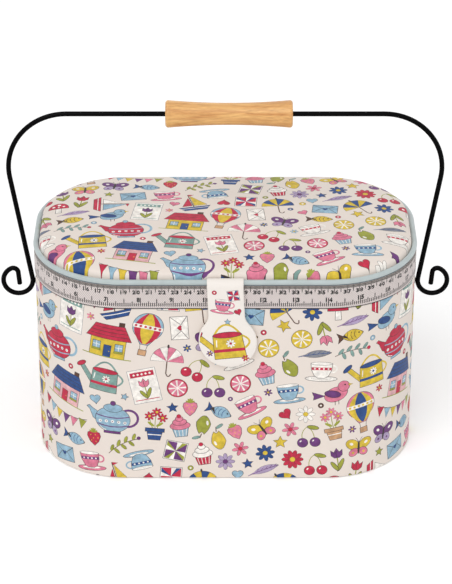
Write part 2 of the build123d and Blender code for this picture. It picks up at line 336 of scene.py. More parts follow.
def edged(shape, ink, width=0.38, edge="ink"):
    """A filled shape over a thin drawn outline."""
    return plain(grow(shape, width), edge) + plain(shape, ink)


def stroke(points, width, ink):
    """A drawn line: the points' line set off to both sides by half the width along its normals."""
    points = np.asarray(points, float)
    side = unit(np.gradient(points, axis=0)[:, ::-1] * (-1, 1)) * width / 2
    return plain(np.vstack([points - side, (points + side)[::-1]]), ink)


def dot(ink, r, x=0.0, y=0.0, count=8):
    """A disc without an outline."""
    return plain(oval(r, x=x, y=y, count=count), ink)


# Motifs

# Each is put together from the shapes above, in millimetres round its own middle. Its arguments are the
# inks of its parts, and for some its reach and how many petals it has.


def flower(petal, middle, reach=7.5, petals=8):
    out = []
    for turn in 360 * np.arange(petals) / petals:
        x, y = move([(reach * 0.6, 0)], turn=turn)[0]
        out += edged(oval(reach * 0.42, reach * 0.21, x, y, turn, 12), petal, 0.22)
    return out + edged(oval(reach * 0.26, count=12), middle, 0.2)


def tulip(petal):
    out = stroke([(0, -11), (0.4, -4), (0, 4)], 0.9, "olive")
    out += edged(leaf(6, 1.6, 5, 0, -10.5, 62), "olive") + edged(leaf(5, 1.5, 4.6, 0, -10.5, 122), "olive")
    cup = [(-4.6, 8), (-4.4, 3.5), (-2, 1.2), (2, 1.2), (4.4, 3.5), (4.6, 8), (2.2, 6), (0, 9.6), (-2.2, 6)]
    return out + edged(cup, petal) + stroke(bow(0, 2, 0, 7.6, 0.5, 4), 0.4, "ink")


def heart(ink, size=5.0):
    t = np.linspace(0, 2 * math.pi, 26, endpoint=False)
    y = 13 * np.cos(t) - 5 * np.cos(2 * t) - 2 * np.cos(3 * t) - np.cos(4 * t)
    return edged(np.stack([16 * np.sin(t) ** 3, y], -1)[::-1] * size / 16, ink)


def sprig(green, berry):
    stem = bow(-13, -4, 13, 4, 2.5)
    out = stroke(stem, 0.6, "brown")
    for k in range(1, 8):
        side = 1 if k % 2 else -1
        out += edged(oval(3.1, 1.25, *(stem[k] + (1.2, side * 2.6)), 60 * side, 12), green, 0.2)
    return out + edged(oval(1.5, x=14, y=4.6, count=12), berry, 0.2)


def teacup(china, stripe):
    out = stroke(np.roll(oval(3.6, 3.2, 8.6, 1.4, count=16), 5, 0)[:11], 1.3, china)
    out += edged(oval(12.5, 2.2, 0, -7.6), china) + edged(oval(8, 1.1, 0, -7.0), "white", 0.15)
    cup = [(-8.4, 6), (-7.9, 0.5), (-5.4, -5), (-2.6, -6.9), (2.6, -6.9), (5.4, -5), (7.9, 0.5), (8.4, 6)]
    out += edged(cup, china) + plain(taper(8.0, 2.6, 7.7, 0.2), stripe)
    for x in (-5.4, -1.8, 1.8, 5.4):
        out += dot("white", 0.8, x, 1.4)
    return out + edged(oval(8.4, 1.3, 0, 6.1), "white", 0.25)


def teapot(china, trim):
    out = stroke(np.roll(oval(7.6, x=12.6, y=0.4, count=20), 7, 0)[:15], 2.0, trim)
    out += edged([(-11, -5), (-16, -2), (-19, 5), (-21.5, 7.2), (-19.6, 8.6), (-16.6, 6.4), (-12, 4)], china)
    out += edged(oval(14, 11.5, 0, -1.5, count=28), china) + edged(box(13, 1.8, 0, -13.2), trim)
    out += edged(oval(7.5, 3.6, 0, 9.2), china) + edged(oval(1.9, y=13.6, count=12), trim)
    for x, y in ((13.4, 1.8), (12.6, -6.4)):
        out += stroke(bow(-x, y, x, y, -1.6), 0.9, trim)
    for x in np.linspace(-10, 10, 5):
        y = -3.2 - 0.006 * x * x
        out += dot("white", 1.35, x, y, 10) + dot(trim, 0.55, x, y, 6)
    return out + stroke(bow(-10, -8.6, -5, -11.4, -0.6, 5), 0.6, "white")


def cottage(wall, roof, door):
    out = edged(box(4, 9, 9, 13), "brown") + edged(box(28, 17, 0, -6), wall)
    out += edged(taper(18, 1.6, 11.5, 14), roof)
    for row, y in enumerate((4.6, 7.8, 11)):
        x = 16.4 - 1.7 * row
        out += stroke([(-x, y), (x, y)], 0.4, "ink")
    out += edged(box(5.6, 10.4, 0, -9.3), door) + dot("mustard", 0.5, 1.6, -9.3, 6)
    for x in (-9, 9):
        out += edged(box(6, 6, x, -5), "sky") + stroke([(x, -8), (x, -2)], 0.45, "white")
        out += stroke([(x - 3, -5), (x + 3, -5)], 0.45, "white") + edged(box(7, 1.7, x, -9.1), "olive", 0.2)
    return out + stroke([(-20, -14.8), (20, -14.8)], 0.8, "olive")


def songbird(body, wing):
    out = edged([(-9, 0.5), (-18, 5.6), (-17.4, 1.6), (-18.4, -1)], wing)
    out += edged(oval(9.6, 6.2, 0, 0, 12, 22), body) + edged(oval(4.6, x=7.4, y=5.6, count=16), body)
    out += edged([(11.4, 6.6), (15, 5.2), (11.5, 4.6)], "mustard", 0.2)
    out += edged(oval(6.4, 3, -2.6, 0.8, 158, 16), wing) + dot("black", 0.7, 8.6, 6.6)
    for x in (1, -2):
        out += stroke([(x, -5.8), (x - 0.6, -9.6)], 0.5, "brown")
    return out


def butterfly(upper, lower):
    out = []
    for side in (-1, 1):
        out += edged(oval(6, 4.2, side * 5.4, 3.4, side * 32, 16), upper)
        out += edged(oval(4.2, 3.2, side * 4.2, -4, -side * 38, 14), lower)
        out += plain(oval(1.7, 1.2, side * 6.4, 4, side * 32, 10), "white")
        out += dot(upper, 1.1, side * 4.6, -4.4) + stroke([(0, 5), (side * 2.8, 9.4)], 0.35, "ink")
    return out + edged(oval(0.9, 6, count=12), "ink", 0.1)


def toadstool(cap):
    out = edged([(-2, -9), (2.6, -9), (1.8, 1), (-1.8, 1)], "white")
    out += edged(np.vstack([arc(8, 0, 180, 14), [(-8, -1), (8, -1)]]), cap)
    for r, x, y in ((1.3, -4, 2.6), (1.5, 0.4, 5.2), (1.1, 4.2, 2.2), (0.8, 0, 1.4)):
        out += dot("white", r, x, y, 10)
    return out


def cherries(ink):
    out = []
    for x, y, rise in ((-4.6, -3, 2.2), (4.8, -3.8, -1.4)):
        out += stroke(bow(x, y, 1, 8.6, rise, 7), 0.6, "olive")
    out += edged(leaf(4.6, 1.7, 4.4, 1, 8.4, -18), "olive")
    for x, y in ((-5, -5.8), (5, -6.6)):
        out += edged(oval(4.1, x=x, y=y, count=16), ink)
        out += plain(oval(1.1, 0.6, x - 1.4, y + 1.6, 40, 8), "white")
    return out


def citrus(rind, flesh):
    out = edged(oval(8, count=26), rind) + plain(oval(7, count=24), "white")
    wedge = np.vstack([(0, 0), arc(6.3, -17.5, 17.5, 5)]) + (0.7, 0)
    for turn in 22.5 + 45 * np.arange(8):
        out += plain(move(wedge, turn=turn), flesh)
    return out


def star(ink, reach=5.5):
    turn = np.arange(10)
    return edged(polar(np.radians(90 + 36 * turn), np.where(turn % 2, 0.45, 1.0) * reach), ink)


def yacht(hull, sail, second):
    out = stroke([(0, -8), (0, 15)], 0.8, "brown") + edged([(1, -5.6), (11, -5.6), (1, 13)], sail)
    out += edged([(-1, -5.6), (-8.6, -5.6), (-1, 9)], second)
    out += edged([(-12, -8), (13, -8), (9.4, -13.4), (-8.6, -13.4)], hull)
    out += stroke([(-11, -10.2), (11.6, -10.2)], 0.7, "white")
    return out + edged([(0.4, 15), (0.4, 12.4), (5, 13.8)], "crimson", 0.2)


def parasol(first, second):
    out = stroke(np.vstack([[(0, 2), (0, -11)], bow(0, -11, 4, -11, -2.4, 6)[1:]]), 0.9, "brown")
    for k in range(6):
        panel = np.vstack([(0, 0), arc(13, 180 - 30 * k, 150 - 30 * k, 5)])
        out += edged(panel, first if k % 2 else second, 0.25)
    return out + edged(oval(0.8, 1.6, 0, 13.6, 0, 10), "ink", 0.1)


def air_balloon(skin, outer, inner):
    out = stroke([(-3, -9), (-2.4, -14)], 0.4, "ink") + stroke([(3, -9), (2.4, -14)], 0.4, "ink")
    out += edged(np.vstack([arc(12, -52, 232, 26) + (0, 7), [(-3.2, -9), (3.2, -9)]]), skin)
    for x, ink in ((8, outer), (4, inner)):
        low, high, rise = x * 0.25, x * 0.3, x * 1.05
        sides = bow(-low, -8.6, -high, 18.6, rise), bow(high, 18.6, low, -8.6, rise)
        out += plain(np.vstack(sides), ink)
    out += plain(box(23.8, 3.4, 0, 6.7), "white")
    for x in np.linspace(-9.5, 9.5, 6):
        out += dot(outer, 1.1, x, 6.7)
    return out + edged(box(6, 4.6, 0, -16.4), "tan")


def watering_can(ink, trim):
    out = stroke(bow(-9, 7, 9, 7, 7.5, 13), 1.5, ink) + stroke(bow(8.6, 6, 9, -6, 6), 1.5, ink)
    out += edged([(-9, -9), (-21, 5), (-20, 7.4), (-17.8, 7), (-9, -3)], ink)
    out += edged(oval(4.4, 1.7, -20.6, 7.4, 40, 14), trim) + edged(taper(10, 6.4, 11, -12), ink)
    out += edged(oval(10, 2.1, 0, 6.4), trim) + plain(taper(10.6, -4.6, 10.8, -7), trim)
    out += stroke([(-8, 3), (-8.6, -2.6)], 0.8, "white")
    return out + placed(flower("white", trim, 8), 1.5, -0.6, 0, 0.42)


def strawberry(ink):
    body = [(-5, 4), (-5.6, 1), (-3.6, -3.8), (0, -7.4), (3.6, -3.8), (5.6, 1), (5, 4), (2, 5.4), (-2, 5.4)]
    out = edged(body, ink)
    for x, y in ((-2.6, 2), (1.4, 2.4), (3.4, -0.4), (-0.6, -0.8), (-2.4, -3), (1.4, -3.8)):
        out += plain(oval(0.4, 0.6, x, y, 0, 6), "mustard")
    for turn in (20, 60, 90, 120, 160):
        out += plain(leaf(2.4, 0.9, 1.6, 0, 4.8, turn, 8), "olive")
    return out


def cupcake(icing, case):
    out = edged(taper(6.4, -0.5, 4.6, -8.6), case)
    for x in -3.9 + 2.6 * np.arange(4):
        out += stroke([(x * 1.25, -0.6), (x * 0.95, -8.4)], 0.5, "white")
    for rx, ry, y, count in ((8, 3.6, 1.4, 18), (5.6, 3, 4.8, 18), (3, 2.2, 7.8, 12)):
        out += edged(oval(rx, ry, 0, y, 0, count), icing)
    return out + edged(oval(1.7, y=10.2, count=10), "crimson", 0.2)


def envelope(paper, seal):
    out = edged(box(20, 13.4), paper) + stroke([(-9.8, 6.4), (0, -0.6), (9.8, 6.4)], 0.5, "ink")
    for side in (-1, 1):
        out += stroke([(side * 9.8, -6.4), (side * 3, 1)], 0.4, "ink")
    return out + placed(heart(seal), 0, 0.2, 0, 0.42)


def seed_packet(ink, petal):
    out = edged(box(22, 30), "white", 0.35, "grey") + plain(box(19, 4.6, 0, 10.8), ink)
    for x in -6.4 + 3.2 * np.arange(5):
        out += plain(box(1.6, 1.6, x, 10.8, 45), "white")
    return out + stroke([(-9.5, -12.4), (9.5, -12.4)], 0.7, ink) + placed(tulip(petal), 0, -1.8, 0, 0.86)


def patch(first, second):
    quarter = plain([(0, 0), (8, 0), (8, 8)], first) + plain([(0, 0), (8, 8), (4, 8)], second)
    out = edged(box(17, 17), "white")
    for turn in (0, 90, 180, 270):
        out += placed(quarter, turn=turn)
    return out


def little_fish(body, fin):
    out = edged([(-6, 0), (-12, 4.6), (-10.6, 0), (-12, -4.6)], fin)
    out += edged(np.vstack([bow(-8, 0, 9, 0, 5, 10), bow(9, 0, -8, 0, 5, 10)]), body)
    for x in (-3, 0, 3):
        out += stroke(bow(x, -3.4, x, 3.4, 1.2, 5), 0.45, fin)
    return out + dot("black", 0.7, 5.8, 0.9)


def flowerpot(pot, petal):
    out = []
    for x, y, turn in ((-5, 8, 6), (0.5, 12, 0), (5.4, 7, -6)):
        out += stroke(bow(x * 0.3, -4, x, y, 0.6, 5), 0.6, "olive")
        out += placed(flower(petal, "mustard", 7.5, 7), x, y, turn, 0.55)
    for x, turn in ((1, 35), (-1, 145)):
        out += plain(leaf(3.4, 1.2, 3, x, -1, turn, 10), "olive")
    out += edged(taper(6.4, -4, 4.6, -13.6), pot) + edged(box(15, 3, 0, -4.6), pot)
    return out + stroke([(-5.4, -9), (5.4, -9)], 0.8, "white")


def bunting(*flags):
    string = bow(-24, 3, 24, 3, -4.6, 13)
    out = stroke(string, 0.5, "ink")
    for (x, y), ink in zip(string[1::2], flags):
        out += edged([(x - 3.4, y), (x + 3.4, y - 0.2), (x, y - 8.6)], ink, 0.25)
    return out


def feather(vane, quill):
    out = edged(np.vstack([bow(-10, -3, 11, 4, 3.6, 10), bow(11, 4, -10, -3, 2.6, 10)]), vane, 0.2)
    out += stroke(bow(-14, -4.6, 10, 3.6, 0.5, 8), 0.5, quill)
    for k in range(5):
        x, y = -7 + 3.6 * k, -1.6 + 1.1 * k
        out += stroke([(x, y), (x + 2, y + 2.8)], 0.35, quill)
    return out


def pear(ink):
    sides = bow(-2, 6, -5.6, -4, -0.8, 6), bow(-5.6, -4, 5.6, -4, -6.6, 10)[1:]
    body = np.vstack([*sides, bow(5.6, -4, 2, 6, -0.8, 6)[1:], bow(2, 6, -2, 6, 1.6, 5)[1:-1]])
    out = stroke([(0, 6), (0.8, 10.4)], 0.8, "brown") + edged(body[::-1], ink)
    out += edged(leaf(3.4, 1.3, 3.2, 0.8, 9, 25, 10), "sage", 0.2)
    return out + plain(oval(1, 2.2, -3, -4.4, 15, 8), "white")


def confetti(ink, reach=2.2):
    return edged(oval(reach, count=12), ink, 0.25) + dot("white", reach * 0.4)


def posy(ink):
    return placed(flower(ink, "mustard", 8, 6), scale=0.42)


MOTIFS = (
    teapot("crimson", "sky"), watering_can("mustard", "blue"), cottage("blush", "blue", "crimson"),
    bunting("crimson", "sky", "mustard", "purple", "rose", "olive"), air_balloon("rose", "mustard", "blue"),
    watering_can("sage", "crimson"), cottage("mustard", "crimson", "blue"), teapot("sky", "purple"),
    air_balloon("sky", "crimson", "mustard"), seed_packet("crimson", "rose"), seed_packet("sage", "purple"),
    yacht("blue", "mustard", "crimson"), parasol("rose", "white"), songbird("sky", "blue"),
    songbird("rose", "purple"), flowerpot("tan", "rose"), flowerpot("blue", "crimson"),
    sprig("sage", "crimson"), sprig("olive", "purple"), teacup("white", "crimson"), teacup("sky", "blue"),
    teacup("rose", "purple"), butterfly("purple", "lilac"), butterfly("mustard", "rose"),
    envelope("white", "crimson"), envelope("sky", "blue"), patch("crimson", "blue"),
    patch("purple", "olive"), yacht("crimson", "sky", "white"), parasol("blue", "mustard"),
    little_fish("sky", "blue"), little_fish("mustard", "brown"), feather("grey", "blue"),
    feather("lilac", "purple"), tulip("crimson"), tulip("purple"), tulip("rose"), cupcake("rose", "sky"),
    cupcake("white", "crimson"), toadstool("crimson"), citrus("mustard", "mustard"),
    citrus("crimson", "rose"), cherries("crimson"), cherries("purple"), pear("olive"), pear("mustard"),
    strawberry("crimson"), strawberry("rose"), flower("blue", "mustard"),
    flower("crimson", "mustard", 8.5, 10), flower("white", "mustard"), flower("lilac", "purple"),
    flower("rose", "crimson", 6.5, 6), star("mustard"), star("blue", 4.4), star("olive", 4),
    heart("crimson"), heart("rose", 4), heart("sky", 4.4),
)
LARGE = 18  # the first motifs, which are set down once; the others are set down twice
FILLERS = (
    posy("crimson"), posy("blue"), posy("rose"), posy("purple"), posy("sky"), confetti("mustard", 2.6),
    confetti("crimson"), confetti("blue"), confetti("olive"), confetti("rose", 2.6), confetti("brown"),
    confetti("sky"), heart("crimson", 2.6), star("sky", 3), star("crimson", 3), confetti("grey", 2.4),
    confetti("purple", 1.8), posy("mustard"),
)


# Layout of the print

TILE = np.array([ROUND / 3, 160.0])
CELLS = (80, 142)  # rows and columns of the raster that the layout is made on
CELL = TILE / CELLS[::-1]
GAP = 2.0
CROWDING = 7.0  # how far a motif's neighbours count, in millimetres
DIRECTIONS = 72
CHANCE = 0.02  # the share of the crowding that chance adds to a place's score
TILT, SMALL_TILT = 14, 40  # how far motifs lean to each side at most, in degrees
FILLER_TRIES = 60


def direction(x, y):
    """The number of the direction in which points lie."""
    return (np.degrees(np.arctan2(y, x)) * DIRECTIONS / 360).astype(int) % DIRECTIONS


def motif_mask(layers):
    """A raster of the ground that a motif and the gap round it cover, on a tile that repeats. In each
    direction the motif reaches as far from its middle as its outlines do there and to both sides of it."""
    reach = np.zeros(DIRECTIONS)
    share = np.linspace(0, 1, 12, endpoint=False)[:, None, None]
    for points, _ in layers:
        fine = (points * (1 - share) + np.roll(points, -1, 0) * share).reshape(-1, 2)
        np.maximum.at(reach, direction(*fine.T), np.hypot(*fine.T))
    reach = np.max([np.roll(reach, k) for k in (-1, 0, 1)], axis=0)
    y, x = (((np.arange(n) + n // 2) % n - n // 2) * size for n, size in zip(CELLS, CELL[::-1]))
    x, y = np.meshgrid(x, y)
    return (np.hypot(x, y) < reach[direction(x, y)] + GAP).astype(float)


def lay_out(seed):
    """Places the motifs on a tile that repeats, the large ones first and the small ones in what is left. A
    correlation of the motif's raster with the ground taken gives the free places, and the one is chosen that
    lies closest to its neighbours."""
    rng = np.random.default_rng(seed)
    taken = np.zeros(CELLS)
    away = [(np.minimum(np.arange(n), n - np.arange(n)) * size) ** 2 for n, size in zip(CELLS, CELL[::-1])]
    near = np.fft.rfft2(np.exp(-np.add.outer(*away) / 2 / CROWDING**2))
    out = []

    def put(layers, turn):
        """Sets a motif down, if there is room for it."""
        turned = placed(layers, turn=turn)
        mask = motif_mask(turned)
        kernel = np.conj(np.fft.rfft2(mask))
        free = np.fft.irfft2(np.fft.rfft2(taken) * kernel, CELLS) < 0.5
        if free.any():
            crowd = np.fft.irfft2(np.fft.rfft2(taken) * near * kernel, CELLS)
            score = np.where(free, crowd + rng.uniform(0, CHANCE * crowd.max() + 1e-6, CELLS), -1)
            row, column = np.unravel_index(np.argmax(score), CELLS)
            taken[:] = np.maximum(taken, np.roll(mask, (row, column), (0, 1)))
            out.append(placed(turned, column * CELL[0], row * CELL[1]))

    for k, layers in enumerate(MOTIFS):
        put(layers, rng.uniform(-TILT, TILT) + (90 * rng.integers(0, 4) if k >= LARGE and k % 4 == 0 else 0))
    for k in rng.permutation(np.arange(LARGE, len(MOTIFS))):
        put(MOTIFS[k], rng.uniform(-SMALL_TILT, SMALL_TILT))
    for k in range(FILLER_TRIES):
        put(FILLERS[k % len(FILLERS)], rng.uniform(0, 360))
    return out


LAYOUT = lay_out(seed=7)


def print_layers(low, high, shift):
    """The layers of every motif that reaches into a window of the cloth, in the cloth's own measure."""
    out = []
    for motif in LAYOUT:
        every = np.vstack([points for points, _ in motif]) + shift
        least, most = every.min(0), every.max(0)
        first, last = np.floor((low - most) / TILE).astype(int), np.ceil((high - least) / TILE).astype(int)
        for tile in np.ndindex(*(last - first + 1)):
            step = (first + tile) * TILE
            if (least + step < high).all() and (most + step > low).all():
                out += placed(motif, *(step + shift))
    return out


# Printed surfaces

MERGED = 5e-4  # points this close become one in a triangulation, in millimetres
TOUCHING = 1e-3  # points this close to a border lie on it
STRIP_WIDTH = 3.95  # how far a flat strip goes round the outline at most


def leftward(points):
    """A closed outline without repeated points, from its leftmost one on and with its inside on the left."""
    points = points[np.abs(points - np.roll(points, 1, 0)).max(1) > TOUCHING]
    points = np.roll(points, -np.lexsort((points[:, 1], points[:, 0]))[0], 0)
    ahead, back = points[1] - points[0], points[-1] - points[0]
    return points if ahead[0] * back[1] - ahead[1] * back[0] > 0 else np.roll(points[::-1], 1, 0)


def triangulate(domain, layers, lines=(), ground="ground"):
    """Cuts a flat domain into triangles along every layer's outline and every line. Gives the points, the
    triangles with their normals up, and for each the ink of the top layer there."""
    places, edges, faces = [], [], []

    def add(points):
        """Adds points and gives the first one's number."""
        start = len(places)
        places.extend(Vector((float(x), float(y))) for x, y in points)
        return start

    # A small flaw is left in, with the looks: an outline that leftward shortens, such as a little fish's,
    # takes in as many of the next outline's first points as it lost.
    for points in (domain, *(points for points, _ in layers)):
        start = add(leftward(points))
        faces.append(list(range(start, start + len(points))))
    for points in lines:
        start = add(points)
        edges.extend((start + k, start + k + 1) for k in range(len(points) - 1))
    found = delaunay_2d_cdt(places, edges, faces, 1, MERGED, True)
    points = np.array([tuple(p) for p in found[0]])
    keep = [k for k, origin in enumerate(found[5]) if 0 in origin]
    triangles = np.array([found[2][k] for k in keep])
    inks = np.array([INK_NAMES.index(ink) for ink in (ground, *(ink for _, ink in layers))])
    top = inks[[max(found[5][k]) for k in keep]]
    a, b, c = points[triangles.T]
    area = (b[:, 0] - a[:, 0]) * (c[:, 1] - a[:, 1]) - (b[:, 1] - a[:, 1]) * (c[:, 0] - a[:, 0])
    triangles[area < 0] = triangles[area < 0][:, ::-1]
    keep = np.abs(area) > 1e-9
    return points, triangles[keep], top[keep]


def crossings(layers, height):
    """Where the layers' outlines cross a level line."""
    out = [np.zeros(0)]
    for points, _ in layers:
        (ax, ay), (bx, by) = points.T, np.roll(points, -1, 0).T
        hit = (ay - height) * (by - height) < 0
        out.append((ax + (height - ay) / np.where(hit, by - ay, 1) * (bx - ax))[hit])
    return np.concatenate(out)


def thin_out(values):
    """Sorted values without those that nearly repeat."""
    values = np.sort(values)
    return values[np.append(True, np.diff(values) > 10 * MERGED)]


def row_at(points, triangles, height, axis=1):
    """The points of a triangulation on one of its straight borders, in order, and the triangle behind each
    step."""
    used = np.unique(triangles)
    row = used[np.abs(points[used, axis] - height) < TOUCHING]
    row = row[np.argsort(points[row, 1 - axis])]
    place = np.full(len(points), -1)
    place[row] = np.arange(len(row))
    behind = np.zeros(len(row) - 1, int)
    for k in range(3):
        a, b = place[triangles[:, k]], place[triangles[:, (k + 1) % 3]]
        found = (a >= 0) & (b >= 0) & (np.abs(a - b) == 1)
        behind[np.minimum(a, b)[found]] = np.nonzero(found)[0]
    return row, behind


def match_borders(points, triangles, top, axis, low, high):
    """Gives two opposite borders of a triangulation the same places along them, each new one by cutting the
    triangle behind it in two."""
    found = [points[row_at(points, triangles, height, axis)[0], 1 - axis] for height in (low, high)]
    for height, here, there in zip((low, high), found, found[::-1]):
        for value in there[np.abs(there[:, None] - here[None]).min(1) > MERGED / 2]:
            row, behind = row_at(points, triangles, height, axis)
            k = np.searchsorted(points[row, 1 - axis], value) - 1
            place = np.full(2, float(height))
            place[1 - axis] = value
            points = np.vstack([points, place])
            first = triangles[behind[k]]
            second = np.where(first == row[k], len(points) - 1, first)
            triangles = np.vstack([triangles, second])
            triangles[behind[k]] = np.where(first == row[k + 1], len(points) - 1, first)
            top = np.append(top, top[behind[k]])
    return points, triangles, top


def fold_normals(profile):
    """For the inner rows of a profile, how far out and up the normal between its two stretches points."""
    across = unit(np.diff(profile, axis=0))[:, ::-1]
    return unit(across[:-1] + across[1:]).T[:, :, None]


def printed_band(name, layers, low, high, inset, fold, material, tiles=1, ground="ground"):
    """A printed strip round the box. Its face is a triangulation of one or more equal lengths laid flat and
    wrapped round the outline, and its thickness a profile that folds from the face's top edge over to its
    bottom edge. Where lengths meet, the points on both borders are made the same and joined."""
    width = ROUND / tiles
    across = np.linspace(0, width, math.ceil(width / STRIP_WIDTH) + 1)
    ends = thin_out(np.concatenate([crossings(layers, low), crossings(layers, high), across]))
    ends = ends[(ends >= 0) & (ends <= width)]
    sides = (ends, low), (ends[::-1], high)
    domain = np.vstack([np.stack(np.broadcast_arrays(*side), -1) for side in sides])
    lines = [[(s, low), (s, high)] for s in across[1:-1]]
    flat, triangles, top = triangulate(domain, layers, lines, ground)
    flat, triangles, top = match_borders(flat, triangles, top, 0, 0, width)
    flat, triangles, top = match_borders(flat, triangles, top, 1, low, high)
    left, right = (row_at(flat, triangles, s, 0)[0] for s in (0, width))
    (upper, behind_upper), (lower, behind_lower) = (row_at(flat, triangles, z) for z in (high, low))
    if len(left) != len(right) or len(upper) != len(lower):
        raise RuntimeError(f"{name}: borders don't match, {len(left)} {len(right)} {len(upper)} {len(lower)}")

    size, turns = len(flat), np.arange(tiles)[:, None]
    face = np.tile(flat, (tiles, 1))
    face[:, 0] += np.repeat(turns[:, 0] * width, size)
    weld = numbered(tiles, size)
    weld[:, right] = left + size * ((turns + 1) % tiles)
    end = size * (tiles - 1)
    upper, lower = (np.append(row[:-1] + size * turns, row[-1] + end) for row in (upper, lower))
    distances, index = face[upper, 0], numbered(len(fold), len(upper), size * tiles)
    rim_weld = index.copy()
    rim_weld[:, -1] = rim_weld[:, 0]
    rim = quads(np.vstack([upper, index, lower]))
    # The first and last strips of the rim carry on the face's own colours.
    shade = np.zeros((len(fold) + 1, len(upper) - 1), int)
    shade[:3], shade[-3:] = np.tile(top[behind_upper], tiles), np.tile(top[behind_lower], tiles)

    profile = np.vstack([[inset, high], fold, [inset, low]])
    out, up = fold_normals(profile)
    base, normal = along(face[:, 0])
    lengths = high + np.cumsum(np.hypot(*np.diff(profile[:-1], axis=0).T))
    rim_uv = np.stack(np.broadcast_arrays(distances, lengths[:, None]), -1).reshape(-1, 2)
    points = np.vstack([np.column_stack([base - inset * normal, face[:, 1]]), band(fold, distances)])
    normals = np.vstack([raised(normal[None], 0.0), raised(out[..., None] * along(distances)[1], up)])
    faces = [(triangles + size * turns[..., None]).reshape(-1, 3), rim]
    colours = INK_TABLE[np.concatenate([np.tile(top, tiles), shade.ravel()])]
    weld = np.concatenate([weld.ravel(), rim_weld.ravel()])
    return make_piece(name, points, faces, material, weld, np.vstack([face, rim_uv]), normals, colours)


# Padded top


def crown_share(depth):
    """The padded top's height over its seam, from 0 to 1, by the distance inside its outline: a sum of three
    exponentials, a steep one for the lip over the seam and two slow ones for the padding, and its slope."""
    parts = ((0.5, 0.4), (0.22, 6.0), (0.28, 18.0))
    middle = 88.0
    full = 1 - sum(a * math.exp(-middle / b) for a, b in parts)
    share = (1 - sum(a * np.exp(-depth / b) for a, b in parts)) / full
    return share, sum(a / b * np.exp(-depth / b) for a, b in parts) / full


def printed_crown(name, layers, inset, seam, rise, material):
    """The padded top: a triangulation of its outline, cut along rings too, lifted by the crown's share. Its
    underside is a flat fan."""
    base, normal = along(stations(3.0)[:-1])
    # The rings' distances from the edge, close together where the top curves most.
    rings = (0.15, 0.4, 0.8, 1.3, 2, 3, 4.5, 6.5, 9, 12, 16, 21, 27, 34, 42, 51, 60)
    lines = [np.vstack([ring, ring[:1]]) for ring in (base - (inset + d) * normal for d in rings)]
    flat, triangles, top = triangulate(base - inset * normal, layers, lines)
    depth, outward = depth_inside(*flat.T, inset)
    share, _ = crown_share(np.maximum(depth, 0))
    used = np.unique(triangles)
    border = used[np.abs(depth[used]) < 20 * TOUCHING]
    border = border[np.argsort(np.arctan2(flat[border, 1], flat[border, 0]))]
    under = np.stack([np.roll(border, -1), border, np.full(len(border), len(flat))], -1)
    flat = np.vstack([flat, (0, 0)])
    points = np.column_stack([flat, seam + rise * np.append(share, 0)])
    colours = INK_TABLE[np.concatenate([top, np.zeros(len(under), int)])]
    return make_piece(name, points, [triangles, under], material, uv=flat, colours=colours, sharp=70)


# Tape

TAPE_LOW, TAPE_HIGH = 155.45, 175.2
# The black strip along the tape's bottom edge is painted shadow of the gap between the lid and the box.
TAPE_STRIPS = ((TAPE_LOW, 155.95, "black"), (172.9, TAPE_HIGH, "selvedge"))
# For millimetres and for sixteenths of an inch: the step, the edge that marks start from, the marks to a
# numeral, the length and width of the marks that stand out and of the others, and the numerals' turnover,
# middle and height.
RULERS = (
    (1.0, 175.15, 10, {0: (-6.8, 0.6), 5: (-5.4, 0.6)}, (-2.7, 0.42), 150, 169.7, 3.1),
    (1.5875, 157.4, 16, {0: (7.6, 0.72), 4: (4.4, 0.72), 8: (6.6, 0.72), 12: (4.4, 0.72)}, (3.0, 0.72),
     60, 163.1, 3.5),
)
DIGIT_WIDTH, DIGIT_GAP = 2.5, 0.95


def digit_shapes():
    """The layers of the ten digits, one unit tall, from the built-in font: the outline, made bolder, and its
    holes, made smaller."""
    shapes = {}
    for digit in "0123456789":
        curve = bpy.data.curves.new("digit", "FONT")
        curve.body, curve.resolution_u, curve.fill_mode = digit, 2, "NONE"
        text = bpy.data.objects.new("digit", curve)
        mesh = text.to_mesh()
        points = np.array([vertex.co[:2] for vertex in mesh.vertices])
        ends = [edge.vertices[:] for edge in mesh.edges if edge.vertices[1] < edge.vertices[0]]
        low, high = points.min(0), points.max(0)
        points = (points - (low + high) / 2) / (high - low)[1]
        loops = [points[first : last + 1] for last, first in ends]
        loops.sort(key=lambda loop: -np.ptp(loop[:, 1]))
        holes = [(loop * 0.66 + loop.mean(0) * 0.34, "tape") for loop in loops[1:]]
        shapes[digit] = [(grow(loops[0], 0.085), "black"), *holes]
        text.to_mesh_clear()
        bpy.data.objects.remove(text)
        bpy.data.curves.remove(curve)
    return shapes


def numeral(shapes, number, x, z, height):
    """A number's digits side by side, centred on x. A 1 keeps its own width."""
    out = []
    for k, digit in enumerate(number):
        middle = x + (k - (len(number) - 1) / 2) * (DIGIT_WIDTH + DIGIT_GAP)
        stretch = height * 0.95 if digit == "1" else DIGIT_WIDTH / np.ptp(shapes[digit][0][0][:, 0])
        out += [(loop * (stretch, height) + (middle, z), ink) for loop, ink in shapes[digit]]
    return out


